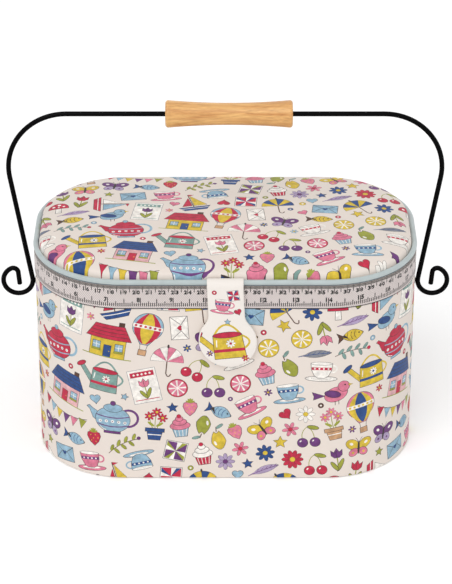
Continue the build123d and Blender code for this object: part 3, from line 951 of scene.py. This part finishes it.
def tape_layers():
    """The tape's marks and numerals. Millimetres and centimetres run along its top edge, sixteenths of an
    inch along its bottom edge, and two ends of tape meet at the front. A mark passes between two digits."""
    shapes = digit_shapes()
    layers, front = [], ROUND / 2
    for low, high, ink in TAPE_STRIPS:
        layers += plain(box(ROUND, high - low, front, (low + high) / 2), ink)
    for low, high, reading in ((0.0, front, 269.0), (front, ROUND, 275.5)):
        start = reading - front
        for step, edge, group, marks, other, turnover, middle, height in RULERS:
            first, last = math.ceil((low + start + 0.5) / step), math.floor((high + start - 0.5) / step)
            for mark in range(first, last + 1):
                s, part = mark * step - start, mark % group
                reach, width = marks.get(part, other)
                layers += plain(box(width, abs(reach), s, edge + reach / 2), "black")
                if part == 0 and low + 4 < s < high - 4:
                    number = str(mark // group % turnover)
                    aside = 0 if len(number) == 2 else 1.7
                    layers += numeral(shapes, number, s - aside, middle, height)
    return layers


# Tab

# The tab's flat pattern: half its neck, its disc's radius and centre, the fillets between them, and where
# the strap starts to bend, where it has turned over the piping and where it ends.
TAB_NECK, TAB_DISC, TAB_CENTRE, TAB_FILLET = 14.25, 22.8, 127.9, 12.0
TAB_BEND, TAB_OVER, TAB_END = 175.2, 183.68, 185.4
# The bend's centre in Y, its two radii, and how much the back rises straight on before it bends.
BEND_Y, BEND_OUTER, BEND_INNER, BEND_LAG = -90.3, 5.4, 2.5, 2.4


def keyhole(inset, top):
    """The tab's outline laid flat: a disc, two fillets and a straight neck, set inwards."""
    fillet_x = TAB_NECK + TAB_FILLET
    fillet_z = TAB_CENTRE + math.sqrt((TAB_DISC + TAB_FILLET) ** 2 - fillet_x**2)
    tilt = math.atan2(fillet_z - TAB_CENTRE, fillet_x)
    disc = polar(np.linspace(math.pi - tilt, 2 * math.pi + tilt, 73), TAB_DISC - inset) + (0, TAB_CENTRE)
    turn = np.linspace(math.pi + tilt, math.pi, 10)[1:]
    right = polar(turn, TAB_FILLET + inset) + (fillet_x, fillet_z)
    rise = np.concatenate([np.linspace(fillet_z, TAB_BEND, 7)[1:], np.linspace(TAB_BEND, top, 20)[1:]])
    side = np.stack([np.full(len(rise), TAB_NECK - inset), rise], -1)
    over = np.stack([np.linspace(TAB_NECK - inset, inset - TAB_NECK, 9)[1:-1], np.full(7, top)], -1)
    return np.vstack([disc, right, side, over, np.vstack([right, side])[::-1] * (-1, 1)])


def lean(across, flat, skew):
    """A shear that hangs the disc to one side, by the skew at 50 mm under the bend."""
    return across + skew * np.clip((TAB_BEND - flat) / 50, 0, None)


def strap(across, flat, share, skew):
    """Places on the tab for places on its flat pattern. The front follows a quarter circle over the piping
    and the back a smaller one, and the tail lies on the padded top. share runs from the back to the front."""
    bend = np.clip((flat - TAB_BEND) / (TAB_OVER - TAB_BEND), 0, 1)
    tail = np.clip((flat - TAB_OVER) / (TAB_END - TAB_OVER), 0, 1)
    straight, length = np.minimum(flat, TAB_BEND), bend * (BEND_LAG + BEND_INNER * math.pi / 2)
    curl = np.clip((length - BEND_LAG) / BEND_INNER, 0, math.pi / 2)
    front = polar(bend * math.pi / 2, -BEND_OUTER, BEND_OUTER)
    front += np.stack([BEND_Y + 1.5 * tail, straight - 0.2 * tail**2], -1)
    back = polar(curl, -BEND_INNER, BEND_INNER)
    back += np.stack([BEND_Y + 1.3 * tail, straight + np.minimum(length, BEND_LAG) - 0.35 * tail**2], -1)
    return np.column_stack([lean(across, flat, skew), back + (front - back) * share[:, None]])


def along_outline(points, border):
    """Each point's distance from a closed outline and its place along it: a segment's number plus a share."""
    step = np.roll(border, -1, 0) - border
    share = np.einsum("ijk,jk->ij", points[:, None] - border, step) / (step**2).sum(1)
    share = np.clip(share, 0, 1)
    away = points[:, None] - border - share[..., None] * step
    away = np.hypot(away[..., 0], away[..., 1])
    nearest = away.argmin(1)
    every = np.arange(len(points))
    return away[every, nearest], (nearest + share[every, nearest]) % len(border)


def at_place(border, place):
    """The points at these places along a closed outline."""
    number = np.floor(place).astype(int) % len(border)
    share = (place - np.floor(place))[:, None]
    return border[number] * (1 - share) + np.roll(border, -1, 0)[number] * share


def tab_board(name, material, skew):
    """The board inside the tab: the keyhole's outline, filled in front and behind and closed all round."""
    border, front, back = keyhole(0.75, 176.0), -95.05, -93.45
    flat, triangles, _ = triangulate(border, [])
    ring = np.argsort(along_outline(flat, border)[1])
    x, z = lean(*flat.T, skew), flat[:, 1]
    points = np.vstack([np.column_stack([x, np.full(len(x), y), z]) for y in (front, back)])
    blocks = two_sided(triangles, ring, len(flat))
    return make_piece(name, points, blocks, material, uv=np.vstack([flat, flat]))


def printed_tab(name, layers, material, skew):
    """The tab: a triangulated front, rows that round its edge and a plain back, all on its flat pattern."""
    turns = np.radians([0, 25, 50, 75, 105, 130, 155, 180])
    insets, shares = 0.85 * (1 - np.sin(turns)), 0.5 + 0.5 * np.cos(turns)
    border, reach = keyhole(insets[0], TAB_END), TAB_NECK - insets[0]
    lines = [[(-reach, z), (reach, z)] for z in np.linspace(TAB_BEND, TAB_END, 20)[:-1]]
    flat, triangles, top = triangulate(border, layers, lines, "cream")
    used = np.unique(triangles)
    away, place = along_outline(flat[used], border)
    used, place = used[away < 2 * TOUCHING], place[away < 2 * TOUCHING]
    ring, place = used[np.argsort(place)], np.sort(place)
    back_flat, back_faces, _ = triangulate(flat[ring], [], lines)
    rows = [at_place(keyhole(inset, TAB_END), place) for inset in insets[1:]]
    index = np.vstack([ring, numbered(len(rows), len(ring), len(flat))])
    rim = quads(np.column_stack([index, index[:, 0]]))[:, ::-1]
    size = len(flat) + len(rows) * len(ring)
    near = np.abs(back_flat[:, None] - flat[ring]).max(2)
    shared = np.nonzero(near.min(1) < TOUCHING)[0]
    weld = np.arange(size + len(back_flat))
    weld[size + shared] = index[-1][near.argmin(1)[shared]]
    pattern = np.vstack([flat, *rows, back_flat])
    share = np.repeat([1.0, *shares[1:], 0.0], [len(flat), *[len(ring)] * len(rows), len(back_flat)])
    blocks = [triangles, (back_faces + size)[:, ::-1], rim]
    inks = [INK_NAMES.index(ink) for ink in ("backing", "cream")]
    colours = INK_TABLE[np.concatenate([top, np.repeat(inks, [len(back_faces), len(rim)])])]
    points = strap(*pattern.T, share, skew)
    return make_piece(name, points, blocks, material, weld, pattern, colours=colours, sharp=0)


# Materials


def add_node(owner, kind, links=(), **values):
    """A node in a material's or a world's tree, with its properties and sockets set and its inputs linked."""
    node = owner.node_tree.nodes.new("ShaderNode" + kind)
    for key, value in values.items():
        if hasattr(node, key):
            setattr(node, key, value)
        else:
            node.inputs[key.replace("_", " ")].default_value = value
    for key, source in dict(links).items():
        if isinstance(source, (int, float)):
            node.inputs[key].default_value = source
        else:
            owner.node_tree.links.new(source, node.inputs[key])
    return node


def new_material(name, **values):
    """A material with one Principled shader, whose plain values are set on its sockets."""
    material = bpy.data.materials.new(name)
    material.use_nodes = True
    material.node_tree.nodes.clear()
    shader = add_node(material, "BsdfPrincipled", **values)
    add_node(material, "OutputMaterial", {0: shader.outputs[0]})
    return material, shader


def coordinates(material, kind="Object", **values):
    """Object coordinates or the piece's UV map, through a Mapping node."""
    source = add_node(material, "TexCoord").outputs[kind]
    return add_node(material, "Mapping", {"Vector": source}, **values).outputs[0]


def noise(material, stretch=(1, 1, 1), **values):
    """A noise over object coordinates, which are stretched first."""
    place = coordinates(material, Scale=stretch)
    return add_node(material, "TexNoise", {"Vector": place}, **values).outputs["Fac"]


def ramp(material, share, low, high, start=0.0, end=1.0):
    """A colour between two colours, by a share."""
    node = add_node(material, "ValToRGB", {"Fac": share})
    for element, position, colour in zip(node.color_ramp.elements, (start, end), (low, high)):
        element.position, element.color = position, (*colour, 1)
    return node.outputs["Color"]


def multiply(material, share, colour, other):
    """A colour multiplied by another, as far as a share says."""
    links = {0: share, 6: colour, 7: other}
    return add_node(material, "Mix", links, data_type="RGBA", blend_type="MULTIPLY").outputs[2]


def finish(material, shader, colour, height, strength, depth):
    """Links the shader's colour, if one is given, and its normal, through a bump."""
    if colour:
        material.node_tree.links.new(colour, shader.inputs["Base Color"])
    bump = add_node(material, "Bump", {"Height": height}, Strength=strength, Distance=depth)
    material.node_tree.links.new(bump.outputs[0], shader.inputs["Normal"])
    return material


def tinted(material, fac, colour, amount):
    """A base colour that a noise lightens and darkens a little."""
    low, high = [c * (1 - amount) for c in colour], [min(1, c * (1 + amount)) for c in colour]
    return ramp(material, fac, low, high, 0.3, 0.7)


def weave(material, kind, stride):
    """Plain weave: the sum of two sine waves that cross, a little uneven. stride is the cloth's length to
    each radian of a wave, in millimetres."""
    place = coordinates(material, kind)
    values = {"Scale": 1 / (20 * stride * MM), "Distortion": 0.6, "Detail": 1.0}
    across, down = (
        add_node(material, "TexWave", {"Vector": place}, bands_direction=side, **values).outputs["Fac"]
        for side in ("X", "Y")
    )
    return add_node(material, "Math", {0: across, 1: down}, operation="ADD").outputs[0]


def printed_cloth(name, stride=0.45, wash=0.22, strength=0.25, roughness=0.62, twill=0.0):
    """Cloth whose print is the mesh's own colour attribute. Where the attribute's alpha says that there is
    ink, a noise makes it darker and paler, like a watercolour. Slanting threads darken it by the twill."""
    sheen = {"Sheen_Weight": 0.08, "Sheen_Roughness": 0.5, "Specular_IOR_Level": 0.3}
    material, shader = new_material(name, Roughness=roughness, **sheen)
    ink = add_node(material, "Attribute", attribute_name="print").outputs
    spread = noise(material, Scale=230.0, Detail=5.0, Roughness=0.6)
    washed = ramp(material, spread, [1 - wash] * 3, [1 + wash] * 3, 0.32, 0.68)
    colour = multiply(material, ink["Alpha"], ink["Color"], washed)
    if twill:
        slant = coordinates(material, "UV")
        slant = add_node(material, "Mapping", {"Vector": slant}, Rotation=(0, 0, math.radians(35))).outputs[0]
        threads = add_node(material, "TexWave", {"Vector": slant}, Scale=260.0, Distortion=1.5, Detail=1.0)
        shade = ramp(material, threads.outputs["Fac"], [1 - twill] * 3, [1 + twill * 0.5] * 3)
        colour = multiply(material, 1.0, colour, shade)
    return finish(material, shader, colour, weave(material, "UV", stride), strength, 0.00006)


def plain_cloth(name, colour, kind="UV", stride=0.5, sheen=0.2, roughness=0.75):
    """Cloth of one colour, a little uneven."""
    values = {"Sheen_Weight": sheen, "Sheen_Roughness": 0.45, "Specular_IOR_Level": 0.25}
    material, shader = new_material(name, Roughness=roughness, **values)
    colour = tinted(material, noise(material, Scale=90.0, Detail=4.0), colour, 0.06)
    return finish(material, shader, colour, weave(material, kind, stride), 0.35, 0.00006)


def solid(name, colour, amount, scale, strength, depth, stretch=(1, 1, 1), **values):
    """The finish of a solid: one noise tints its colour and gives its relief."""
    material, shader = new_material(name, **values)
    fac = noise(material, stretch, Scale=scale, Detail=4.0)
    return finish(material, shader, tinted(material, fac, colour, amount), fac, strength, depth)


def turned_wood(light, dark):
    """Turned hardwood: long noise along X gives the grain, and a finer one its pores."""
    material, shader = new_material("turned_wood", Roughness=0.42, Coat_Weight=0.25, Coat_Roughness=0.3)
    grain = noise(material, (26, 330, 330), Scale=1.0, Detail=6.0, Roughness=0.6, Distortion=0.6)
    pores = noise(material, (90, 1600, 1600), Scale=1.0, Detail=2.0)
    bands = ramp(material, grain, dark, light, 0.33, 0.66)
    shade = ramp(material, pores, (0.45, 0.36, 0.28), (1, 1, 1), 0.35, 0.55)
    return finish(material, shader, multiply(material, 0.35, bands, shade), pores, 0.2, 0.0002)


def ribbed_elastic():
    """White elastic: cords lengthwise, from one sine wave across the strip."""
    material, shader = new_material("ribbed_elastic", Roughness=0.7, Sheen_Weight=0.1)
    values = {"bands_direction": "X", "Scale": 320.0, "Distortion": 0.2}
    wave = add_node(material, "TexWave", {"Vector": coordinates(material)}, **values).outputs["Fac"]
    # The grooves between the cords are darker grey, from the same wave as the relief: painted shade.
    colour = ramp(material, wave, (0.55, 0.55, 0.53), (0.82, 0.82, 0.8))
    return finish(material, shader, colour, wave, 0.6, 0.0004)


def dress_nodes(material, *names):
    """CAD nodes keep their shapes and get this material."""
    for name in names:
        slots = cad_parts[name].data.materials
        slots.clear()
        slots.append(material)


# Settings


def length_setting(name, description, default):
    """A length in metres that a user may change."""
    return FloatProperty(name=name, description=description, default=default, unit="LENGTH")


def colour_setting(name, description, *default):
    """A linear colour that a user may change."""
    return FloatVectorProperty(name=name, description=description, default=default, subtype="COLOR")


class SewingBoxSizes(PropertyGroup):
    """Sizes that a user may change"""

    crown_height: length_setting("Crown height", "Rise of the padded top over the piping's seam", 0.0145)
    piping_radius: length_setting("Piping radius", "Radius of the covered cord", 0.0021)
    tab_skew: length_setting("Tab skew", "How far the tab's disc hangs to the right", 0.0022)
    pocket_folds: IntProperty(name="Pocket folds", description="Gathers along its mouth", default=24, min=4)


class SewingBoxColours(PropertyGroup):
    """Colours that a user may change"""

    piping: colour_setting("Piping", "Cloth of the piping and the hinge", 0.49, 0.56, 0.56)
    lining: colour_setting("Lining", "Cloth inside the box and the lid", 0.36, 0.47, 0.56)
    cushion: colour_setting("Pin cushion", "Cloth of the pin cushion", 0.52, 0.05, 0.1)
    base: colour_setting("Base", "Cloth under the box", 0.72, 0.68, 0.6)
    wood_light: colour_setting("Wood", "Pale bands of the grip's grain", 0.95, 0.56, 0.2)
    wood_dark: colour_setting("Wood grain", "Dark bands of the grip's grain", 0.62, 0.27, 0.075)
    tray: colour_setting("Tray", "Moulded tray", 0.78, 0.8, 0.81)


# Operators

WHITE = (1, 1, 1, 1)
FLOOR_HALF = 30000.0
FLOOR_LIFT = 0.14  # the floor's own light, for the camera only
ROOM_LIGHT = 0.65  # the world's light on the piece; the camera and reflections see 1
LAMPS = (  # name, direction it shines from, spread in degrees, power
    ("key_light", (-0.45, -0.8, 1.1), 40, 0.93),
    ("fill_light", (0.7, -0.6, 1.0), 70, 0.28),
)
# The camera: its lens, its place to the side, its distance from the point it looks at, that point's height,
# all in metres but the lens, and how far it looks down in degrees.
LENS, CAMERA_X, CAMERA_AWAY, CAMERA_AIM, CAMERA_TILT = 158.28, 0.0006, 2.09, 0.1213, 27.93


class SEWINGBOX_OT_stage(Operator):
    """Floor, soft studio light and the camera"""

    bl_idname = "sewingbox.stage"
    bl_label = "Stage"

    def execute(self, context):
        scene = context.scene
        values = {"Roughness": 0.9, "Specular_IOR_Level": 0.1, "Base_Color": WHITE, "Emission_Color": WHITE}
        material, shader = new_material("floor", **values)
        seen = add_node(material, "LightPath").outputs["Is Camera Ray"]
        lift = add_node(material, "Math", {0: seen, 1: FLOOR_LIFT}, operation="MULTIPLY")
        material.node_tree.links.new(lift.outputs[0], shader.inputs["Emission Strength"])
        corners = np.array([(-1, -1, 0), (1, -1, 0), (1, 1, 0), (-1, 1, 0)]) * FLOOR_HALF
        make_piece("floor", corners, [np.array([[0, 1, 2, 3]])], material)
        world = bpy.data.worlds.new("studio")
        world.use_nodes = True
        world.node_tree.nodes.clear()
        scene.world = world
        path = add_node(world, "LightPath").outputs
        seen = path["Is Camera Ray"]
        for ray in ("Is Transmission Ray", "Is Glossy Ray"):
            seen = add_node(world, "Math", {0: seen, 1: path[ray]}, operation="MAXIMUM").outputs[0]
        room = add_node(world, "Background", Color=WHITE, Strength=ROOM_LIGHT).outputs[0]
        backdrop = add_node(world, "Background", Color=WHITE, Strength=1.0).outputs[0]
        mix = add_node(world, "MixShader", {0: seen, 1: room, 2: backdrop})
        add_node(world, "OutputWorld", {0: mix.outputs[0]})
        for name, source, spread, power in LAMPS:
            lamp = bpy.data.lights.new(name, "SUN")
            lamp.angle, lamp.energy = math.radians(spread), power
            stand = bpy.data.objects.new(name, lamp)
            stand.rotation_euler = Vector(source).to_track_quat("Z", "Y").to_euler()
            scene.collection.objects.link(stand)
        lens = bpy.data.cameras.new("camera")
        lens.lens, lens.sensor_width, lens.clip_end = LENS, 36.0, 200
        camera = bpy.data.objects.new("camera", lens)
        tilt = math.radians(CAMERA_TILT)
        camera.location = (CAMERA_X, -CAMERA_AWAY * math.cos(tilt), CAMERA_AIM + CAMERA_AWAY * math.sin(tilt))
        camera.rotation_euler = (math.pi / 2 - tilt, 0, 0)
        scene.collection.objects.link(camera)
        scene.camera = camera
        scene.view_settings.view_transform = "Standard"
        return {"FINISHED"}


class SEWINGBOX_OT_body_cover(Operator):
    """Printed cloth round the box, turned in at the top and underneath"""

    bl_idname = "sewingbox.body_cover"
    bl_label = "Body cover"

    def execute(self, context):
        bottom, top = (corner.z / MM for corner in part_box("outer_cover"))
        # The radius of its folds, how far it goes inwards over the wall and under the base, and where its
        # print starts.
        fold, inside, under, shift = 0.6, 3.75, 9.0, (20.0, 6.0)
        low, high = bottom + fold, top - fold
        turn = polar(np.radians([30, 60, 90]), -fold, fold)
        back = [(inside, top), (inside, high), (fold, high), (fold, low), (under, low), (under, bottom)]
        profile = np.vstack([turn + (fold, high), back, turn[::-1] * (1, -1) + (fold, low)])
        layers = print_layers((-1, bottom), (ROUND / 3 + 1, top), shift)
        cloth = printed_cloth("printed_cotton")
        cover = printed_band("printed_cover", layers, low, high, 0.0, profile, cloth, tiles=3)
        seat(cover, "box", "printed_cloth", "outer_cover")
        return {"FINISHED"}


class SEWINGBOX_OT_padded_top(Operator):
    """Printed cloth over the lid's padding"""

    bl_idname = "sewingbox.padded_top"
    bl_label = "Padded top"

    def execute(self, context):
        rise = context.scene.sewing_box.crown_height / MM
        # How far its edge lies inside the outline, the height of its seam, and where its print starts.
        inset, seam, shift = 3.45, 175.5, (-61.0, 31.0)
        layers = print_layers((-HALF_X, -HALF_Y), (HALF_X, HALF_Y), shift)
        cloth = bpy.data.materials["printed_cotton"]
        crown = printed_crown("printed_crown", layers, inset, seam, rise, cloth)
        seat(crown, "lid", "printed_cloth", "lid_pad", "lid_top_cover")
        return {"FINISHED"}


class SEWINGBOX_OT_piping(Operator):
    """Covered cord round the edge of the lid"""

    bl_idname = "sewingbox.piping"
    bl_label = "Piping"

    def execute(self, context):
        # The cord's radius, and its middle's inset and height.
        radius, middle = context.scene.sewing_box.piping_radius / MM, (1.2, 177.6)
        profile = polar(np.linspace(-math.pi / 2, 1.5 * math.pi, 16, endpoint=False), -radius, radius)
        colour = context.scene.sewing_box_colours.piping
        cloth = plain_cloth("satin_cloth", colour, stride=0.4, sheen=0.5, roughness=0.5)
        piping = ring_piece("covered_cord", profile + middle, cloth, sharp=0)
        seat(piping, "lid", "piping_cloth", "piping")
        return {"FINISHED"}


class SEWINGBOX_OT_tape(Operator):
    """Measuring tape round the side of the lid"""

    bl_idname = "sewingbox.tape"
    bl_label = "Tape"

    def execute(self, context):
        # The face's inset, which stands proud of the outline, and the rows that fold it over.
        out = -0.5
        fold = [(-0.42, 175.32), (-0.25, 175.35), (0, 175.35), (0, 155.3), (-0.25, 155.3), (-0.42, 155.33)]
        cloth = printed_cloth("tape_cloth", stride=0.6, wash=0.03, strength=0.35, roughness=0.6, twill=0.42)
        layers = tape_layers()
        tape = printed_band("measuring_tape", layers, TAPE_LOW, TAPE_HIGH, out, fold, cloth, ground="tape")
        seat(tape, "lid", "tape_ribbon", "tape_ribbon")
        return {"FINISHED"}


class SEWINGBOX_OT_tab(Operator):
    """Printed tab that hangs from the lid's edge and closes the box"""

    bl_idname = "sewingbox.tab"
    bl_label = "Tab"

    def execute(self, context):
        skew = context.scene.sewing_box.tab_skew / MM
        layers = placed(watering_can("mustard", "crimson"), 0.4, 127.0, 6, 1.12)
        layers += placed(teacup("rose", "blue"), -2.6, 160.0, -8, 0.72)
        layers += placed(patch("crimson", "blue"), 6.0, 168.6, 8, 0.52)
        layers += placed(confetti("crimson"), -8.6, 171.4, 20, 0.8)
        layers += placed(heart("crimson", 3), 9.0, 154.5, 20, 0.9)
        layers += placed(posy("purple"), -14.6, 117.6, 10, 0.8)
        layers += placed(posy("crimson"), 13.2, 113.4, 0, 0.9)
        layers += placed(star("sky", 3), 0.5, 145.6, 0, 0.8)
        tab = printed_tab("printed_tab", layers, bpy.data.materials["printed_cotton"], skew)
        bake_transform(tab)
        seat(tab, None, "printed_cloth", "tab_cover", "tab_root", "tab_backing")
        board = solid("fibre_board", (0.34, 0.25, 0.16), 0.25, 1.0, 0.3, 0.0002, (900, 900, 200),
                      Roughness=0.85, Specular_IOR_Level=0.2)
        seat(tab_board("tab_board", board, skew), "tab", "board", "tab_stiffener")
        return {"FINISHED"}


class SEWINGBOX_OT_handle(Operator):
    """Finishes of the wire handle, its pivots and its turned grip"""

    bl_idname = "sewingbox.handle"
    bl_label = "Handle"

    def execute(self, context):
        colours = context.scene.sewing_box_colours
        enamel = solid("gloss_black", (0.002, 0.002, 0.0023), 0.2, 240.0, 0.04, 0.00003,
                       Roughness=0.16, Specular_IOR_Level=0.04)
        dress_nodes(enamel, "handle_wire", "pivot_bushes", "pivot_pins", "pin_caps")
        dress_nodes(turned_wood(colours.wood_light, colours.wood_dark), "handle_grip")
        return {"FINISHED"}


class SEWINGBOX_OT_linings(Operator):
    """Cloth inside the box, the pad on its floor and the cloth under its base"""

    bl_idname = "sewingbox.linings"
    bl_label = "Linings"

    def execute(self, context):
        colours = context.scene.sewing_box_colours
        cloth = plain_cloth("lining_cotton", colours.lining, stride=0.5)
        rows = [(6.45, 4.65), (6.45, 105.0), (3.3, 105.0), (3.3, 105.4), (3.4, 105.5), (6.6, 105.5),
                (6.85, 105.4), (6.95, 105.15), (6.95, 4.65)]
        lower = seat(ring_piece("lower_cloth", rows, cloth), "box", "lining_cloth", "lower_lining")
        rows = [(3.3, 105.65), (3.3, 154.15), (3.4, 154.25), (3.7, 154.25), (3.8, 154.15), (3.8, 105.65)]
        upper = seat(ring_piece("upper_cloth", rows, cloth), "box", "lining_cloth", "upper_lining")
        rows = [(7.3, 0, 4.65), (7.3, 0.5, 4.65), (7.3, 1, 4.65), (7.1, 1, 5.0), (7.1, 1, 7.6), (7.3, 1, 8.2),
                (7.9, 1, 8.5), (9.5, 1, 8.62), (13, 1, 8.65), (13, 0.6, 8.65), (13, 0.3, 8.65), (13, 0, 8.65)]
        floor = seat(disc_piece("padded_floor", rows, cloth), "box", "lining_cloth", "floor_pad")
        rows = [(1.7, 0, 0), (1.7, 0.5, 0), (1.7, 1, 0), (1.5, 1, 0.15), (1.5, 1, 0.45), (1.7, 1, 0.6),
                (1.7, 0.5, 0.6), (1.7, 0, 0.6)]
        cloth = plain_cloth("base_cotton", colours.base, stride=0.6)
        base = seat(disc_piece("base_cloth_disc", rows, cloth), "box", "base_cloth", "base_cover")
        return {"FINISHED"}


class SEWINGBOX_OT_lid_inside(Operator):
    """Lining, gathered pocket, its elastic and the pin cushion inside the lid"""

    bl_idname = "sewingbox.lid_inside"
    bl_label = "Lid inside"

    def execute(self, context):
        colours, cloth = context.scene.sewing_box_colours, bpy.data.materials["lining_cotton"]
        rows = [(3.2, 0, 172.3), (3.2, 0.5, 172.3), (5.2, 1, 172.3), (3.9, 1, 172.05), (3.35, 1, 171.5),
                (3.2, 1, 170.6), (3.2, 1, 155.7), (3.1, 1, 155.6), (2.8, 1, 155.6), (2.7, 1, 155.7),
                (2.7, 1, 172.6), (2.9, 1, 172.8), (2.9, 0.5, 172.8), (2.9, 0, 172.8)]
        lining = seat(disc_piece("lid_cloth", rows, cloth), "lid", "lining_cloth", "lid_lining")

        # The pocket's round end, where its sides turn straight, its mouth, half its width and its level.
        # It hangs down in the middle, and in folds towards its mouth.
        end, turn, mouth, wide, level = -143.8, -79.0, -25.9, 83.3, 171.75
        folds = context.scene.sewing_box.pocket_folds
        x, v = np.linspace(end, mouth, 60)[:, None], np.linspace(-1, 1, 241)
        bulge = np.sqrt(np.maximum((turn - end) ** 2 - (x - turn) ** 2, 0))
        half = np.where(x < turn, 18.5 + bulge, wide) - 0.3
        toward = (x - end) / (mouth - end)
        edge = 1 - np.abs(v) ** 6
        wave = 0.5 - 0.5 * np.cos(2 * math.pi * folds * (v + 0.012 * np.sin(19 * v)))
        drop = toward**1.6 * wave * edge * 1.5 + np.sin(math.pi * np.minimum(toward, 0.97)) * edge * 2.6
        middle = np.stack(np.broadcast_arrays(x, half * v, level - drop), -1)
        pocket = sheet_piece("gathered_pocket", middle, 0.5, cloth, middle[..., :2] * (1, 1.3))
        seat(pocket, "lid", "lining_cloth", "lid_pocket")
        x, y = np.linspace(-25.6, -16.7, 10)[:, None], np.linspace(-83.2, 83.2, 121)
        arch = np.sin(np.linspace(0, math.pi, 10)) ** 0.5
        bulge = arch[:, None] * (0.55 + 0.25 * np.cos(2 * math.pi * folds * y / 83.2))
        middle = np.stack(np.broadcast_arrays(x, y, level - bulge), -1)
        strip = sheet_piece("ribbed_strip", middle, 0.8, ribbed_elastic(), middle[..., :2])
        seat(strip, "lid", "elastic", "pocket_elastic")

        # The pin cushion's underside bulges, its side is a quarter circle, and its top goes into the lid.
        rows = [(6, k, 163.65 + 1.65 * k**3) for k in (0, 0.2, 0.4, 0.6, 0.75, 0.88)]
        rows += [(6 - 6 * s, 1, 169.5 - 4.2 * c) for c, s in polar(np.radians(np.linspace(0, 90, 8)))]
        rows += [(0.3, 1, 170.6), (1.2, 1, 171.7), (2.5, 1, 172.15), (2.5, 0.5, 172.15), (2.5, 0, 172.15)]
        velvet = plain_cloth("cushion_velvet", colours.cushion, "Object", stride=0.35, sheen=0.8)
        outline = small_outline(42, 56, 24, 2.5)
        cushion = disc_piece("stuffed_cushion", rows, velvet, outline, centre=(76, 0), sharp=0)
        seat(cushion, "lid", "cushion_cloth", "pin_cushion")
        return {"FINISHED"}


class SEWINGBOX_OT_hinge(Operator):
    """Cloth hinge at the back, glued to the box and the lid"""

    bl_idname = "sewingbox.hinge"
    bl_label = "Hinge"

    def execute(self, context):
        # Its rows' heights on the box, over the bend and on the lid, where it lies 0.5 mm further out.
        stretches = (128.7, 152.7, 9), (153.2, 157.2, 17), (158.5, 172.3, 7)
        z = np.concatenate([np.linspace(*stretch) for stretch in stretches])
        share = np.clip((z - 153.5) / 3, 0, 1)
        y = 91.9 + 0.5 * share * share * (3 - 2 * share)
        middle = np.stack(np.broadcast_arrays(np.linspace(75, -75, 61), y[:, None], z[:, None]), -1)
        cloth = sheet_piece("hinge_cloth", middle, 0.5, bpy.data.materials["satin_cloth"], middle[..., ::2])
        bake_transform(cloth)
        seat(cloth, None, "piping_cloth", "hinge_cloth_body", "hinge_cloth_lid")
        return {"FINISHED"}


class SEWINGBOX_OT_boards(Operator):
    """Finishes of the boards, the tray and the magnets"""

    bl_idname = "sewingbox.boards"
    bl_label = "Boards, tray and magnets"

    def execute(self, context):
        board = bpy.data.materials["fibre_board"]
        dress_nodes(board, "wall_board", "base_board", "lining_board", "lid_top_board")
        dress_nodes(bpy.data.materials["lining_cotton"], "lid_rim_board")
        colour = context.scene.sewing_box_colours.tray
        plastic = solid("milky_plastic", colour, 0.02, 700.0, 0.1, 0.0001, Roughness=0.38,
                        Subsurface_Weight=0.15, Subsurface_Scale=0.004, Specular_IOR_Level=0.45)
        steel = solid("plated_steel", (0.62, 0.62, 0.64), 0.08, 1.0, 0.1, 0.00005, (300, 300, 4000),
                      Metallic=1.0, Roughness=0.3)
        dress_nodes(plastic, "tray")
        dress_nodes(steel, "catch_magnet", "tab_magnet")
        return {"FINISHED"}


class SEWINGBOX_PT_pieces(Panel):
    """Lists what makes each piece, and the sizes and colours they use"""

    bl_idname = "SEWINGBOX_PT_pieces"
    bl_label = "Sewing box"
    bl_space_type = "VIEW_3D"
    bl_region_type = "UI"
    bl_category = "Sewing box"

    def draw(self, context):
        for operator in OPERATORS:
            self.layout.operator(operator.bl_idname)
        for group in (context.scene.sewing_box, context.scene.sewing_box_colours):
            for name in group.__annotations__:
                self.layout.prop(group, name)


OPERATORS = (
    SEWINGBOX_OT_stage,
    SEWINGBOX_OT_body_cover,
    SEWINGBOX_OT_padded_top,
    SEWINGBOX_OT_piping,
    SEWINGBOX_OT_tape,
    SEWINGBOX_OT_tab,
    SEWINGBOX_OT_handle,
    SEWINGBOX_OT_linings,
    SEWINGBOX_OT_lid_inside,
    SEWINGBOX_OT_hinge,
    SEWINGBOX_OT_boards,
)
CLASSES = (SewingBoxSizes, SewingBoxColours, *OPERATORS, SEWINGBOX_PT_pieces)


def register():
    for item in CLASSES:
        bpy.utils.register_class(item)
    bpy.types.Scene.sewing_box = PointerProperty(type=SewingBoxSizes)
    bpy.types.Scene.sewing_box_colours = PointerProperty(type=SewingBoxColours)


def unregister():
    del bpy.types.Scene.sewing_box_colours
    del bpy.types.Scene.sewing_box
    for item in reversed(CLASSES):
        bpy.utils.unregister_class(item)


def main():
    """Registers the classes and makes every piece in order."""
    register()
    for operator in OPERATORS:
        getattr(bpy.ops.sewingbox, operator.bl_idname.split(".")[1])()


if __name__ == "__main__":
    main()
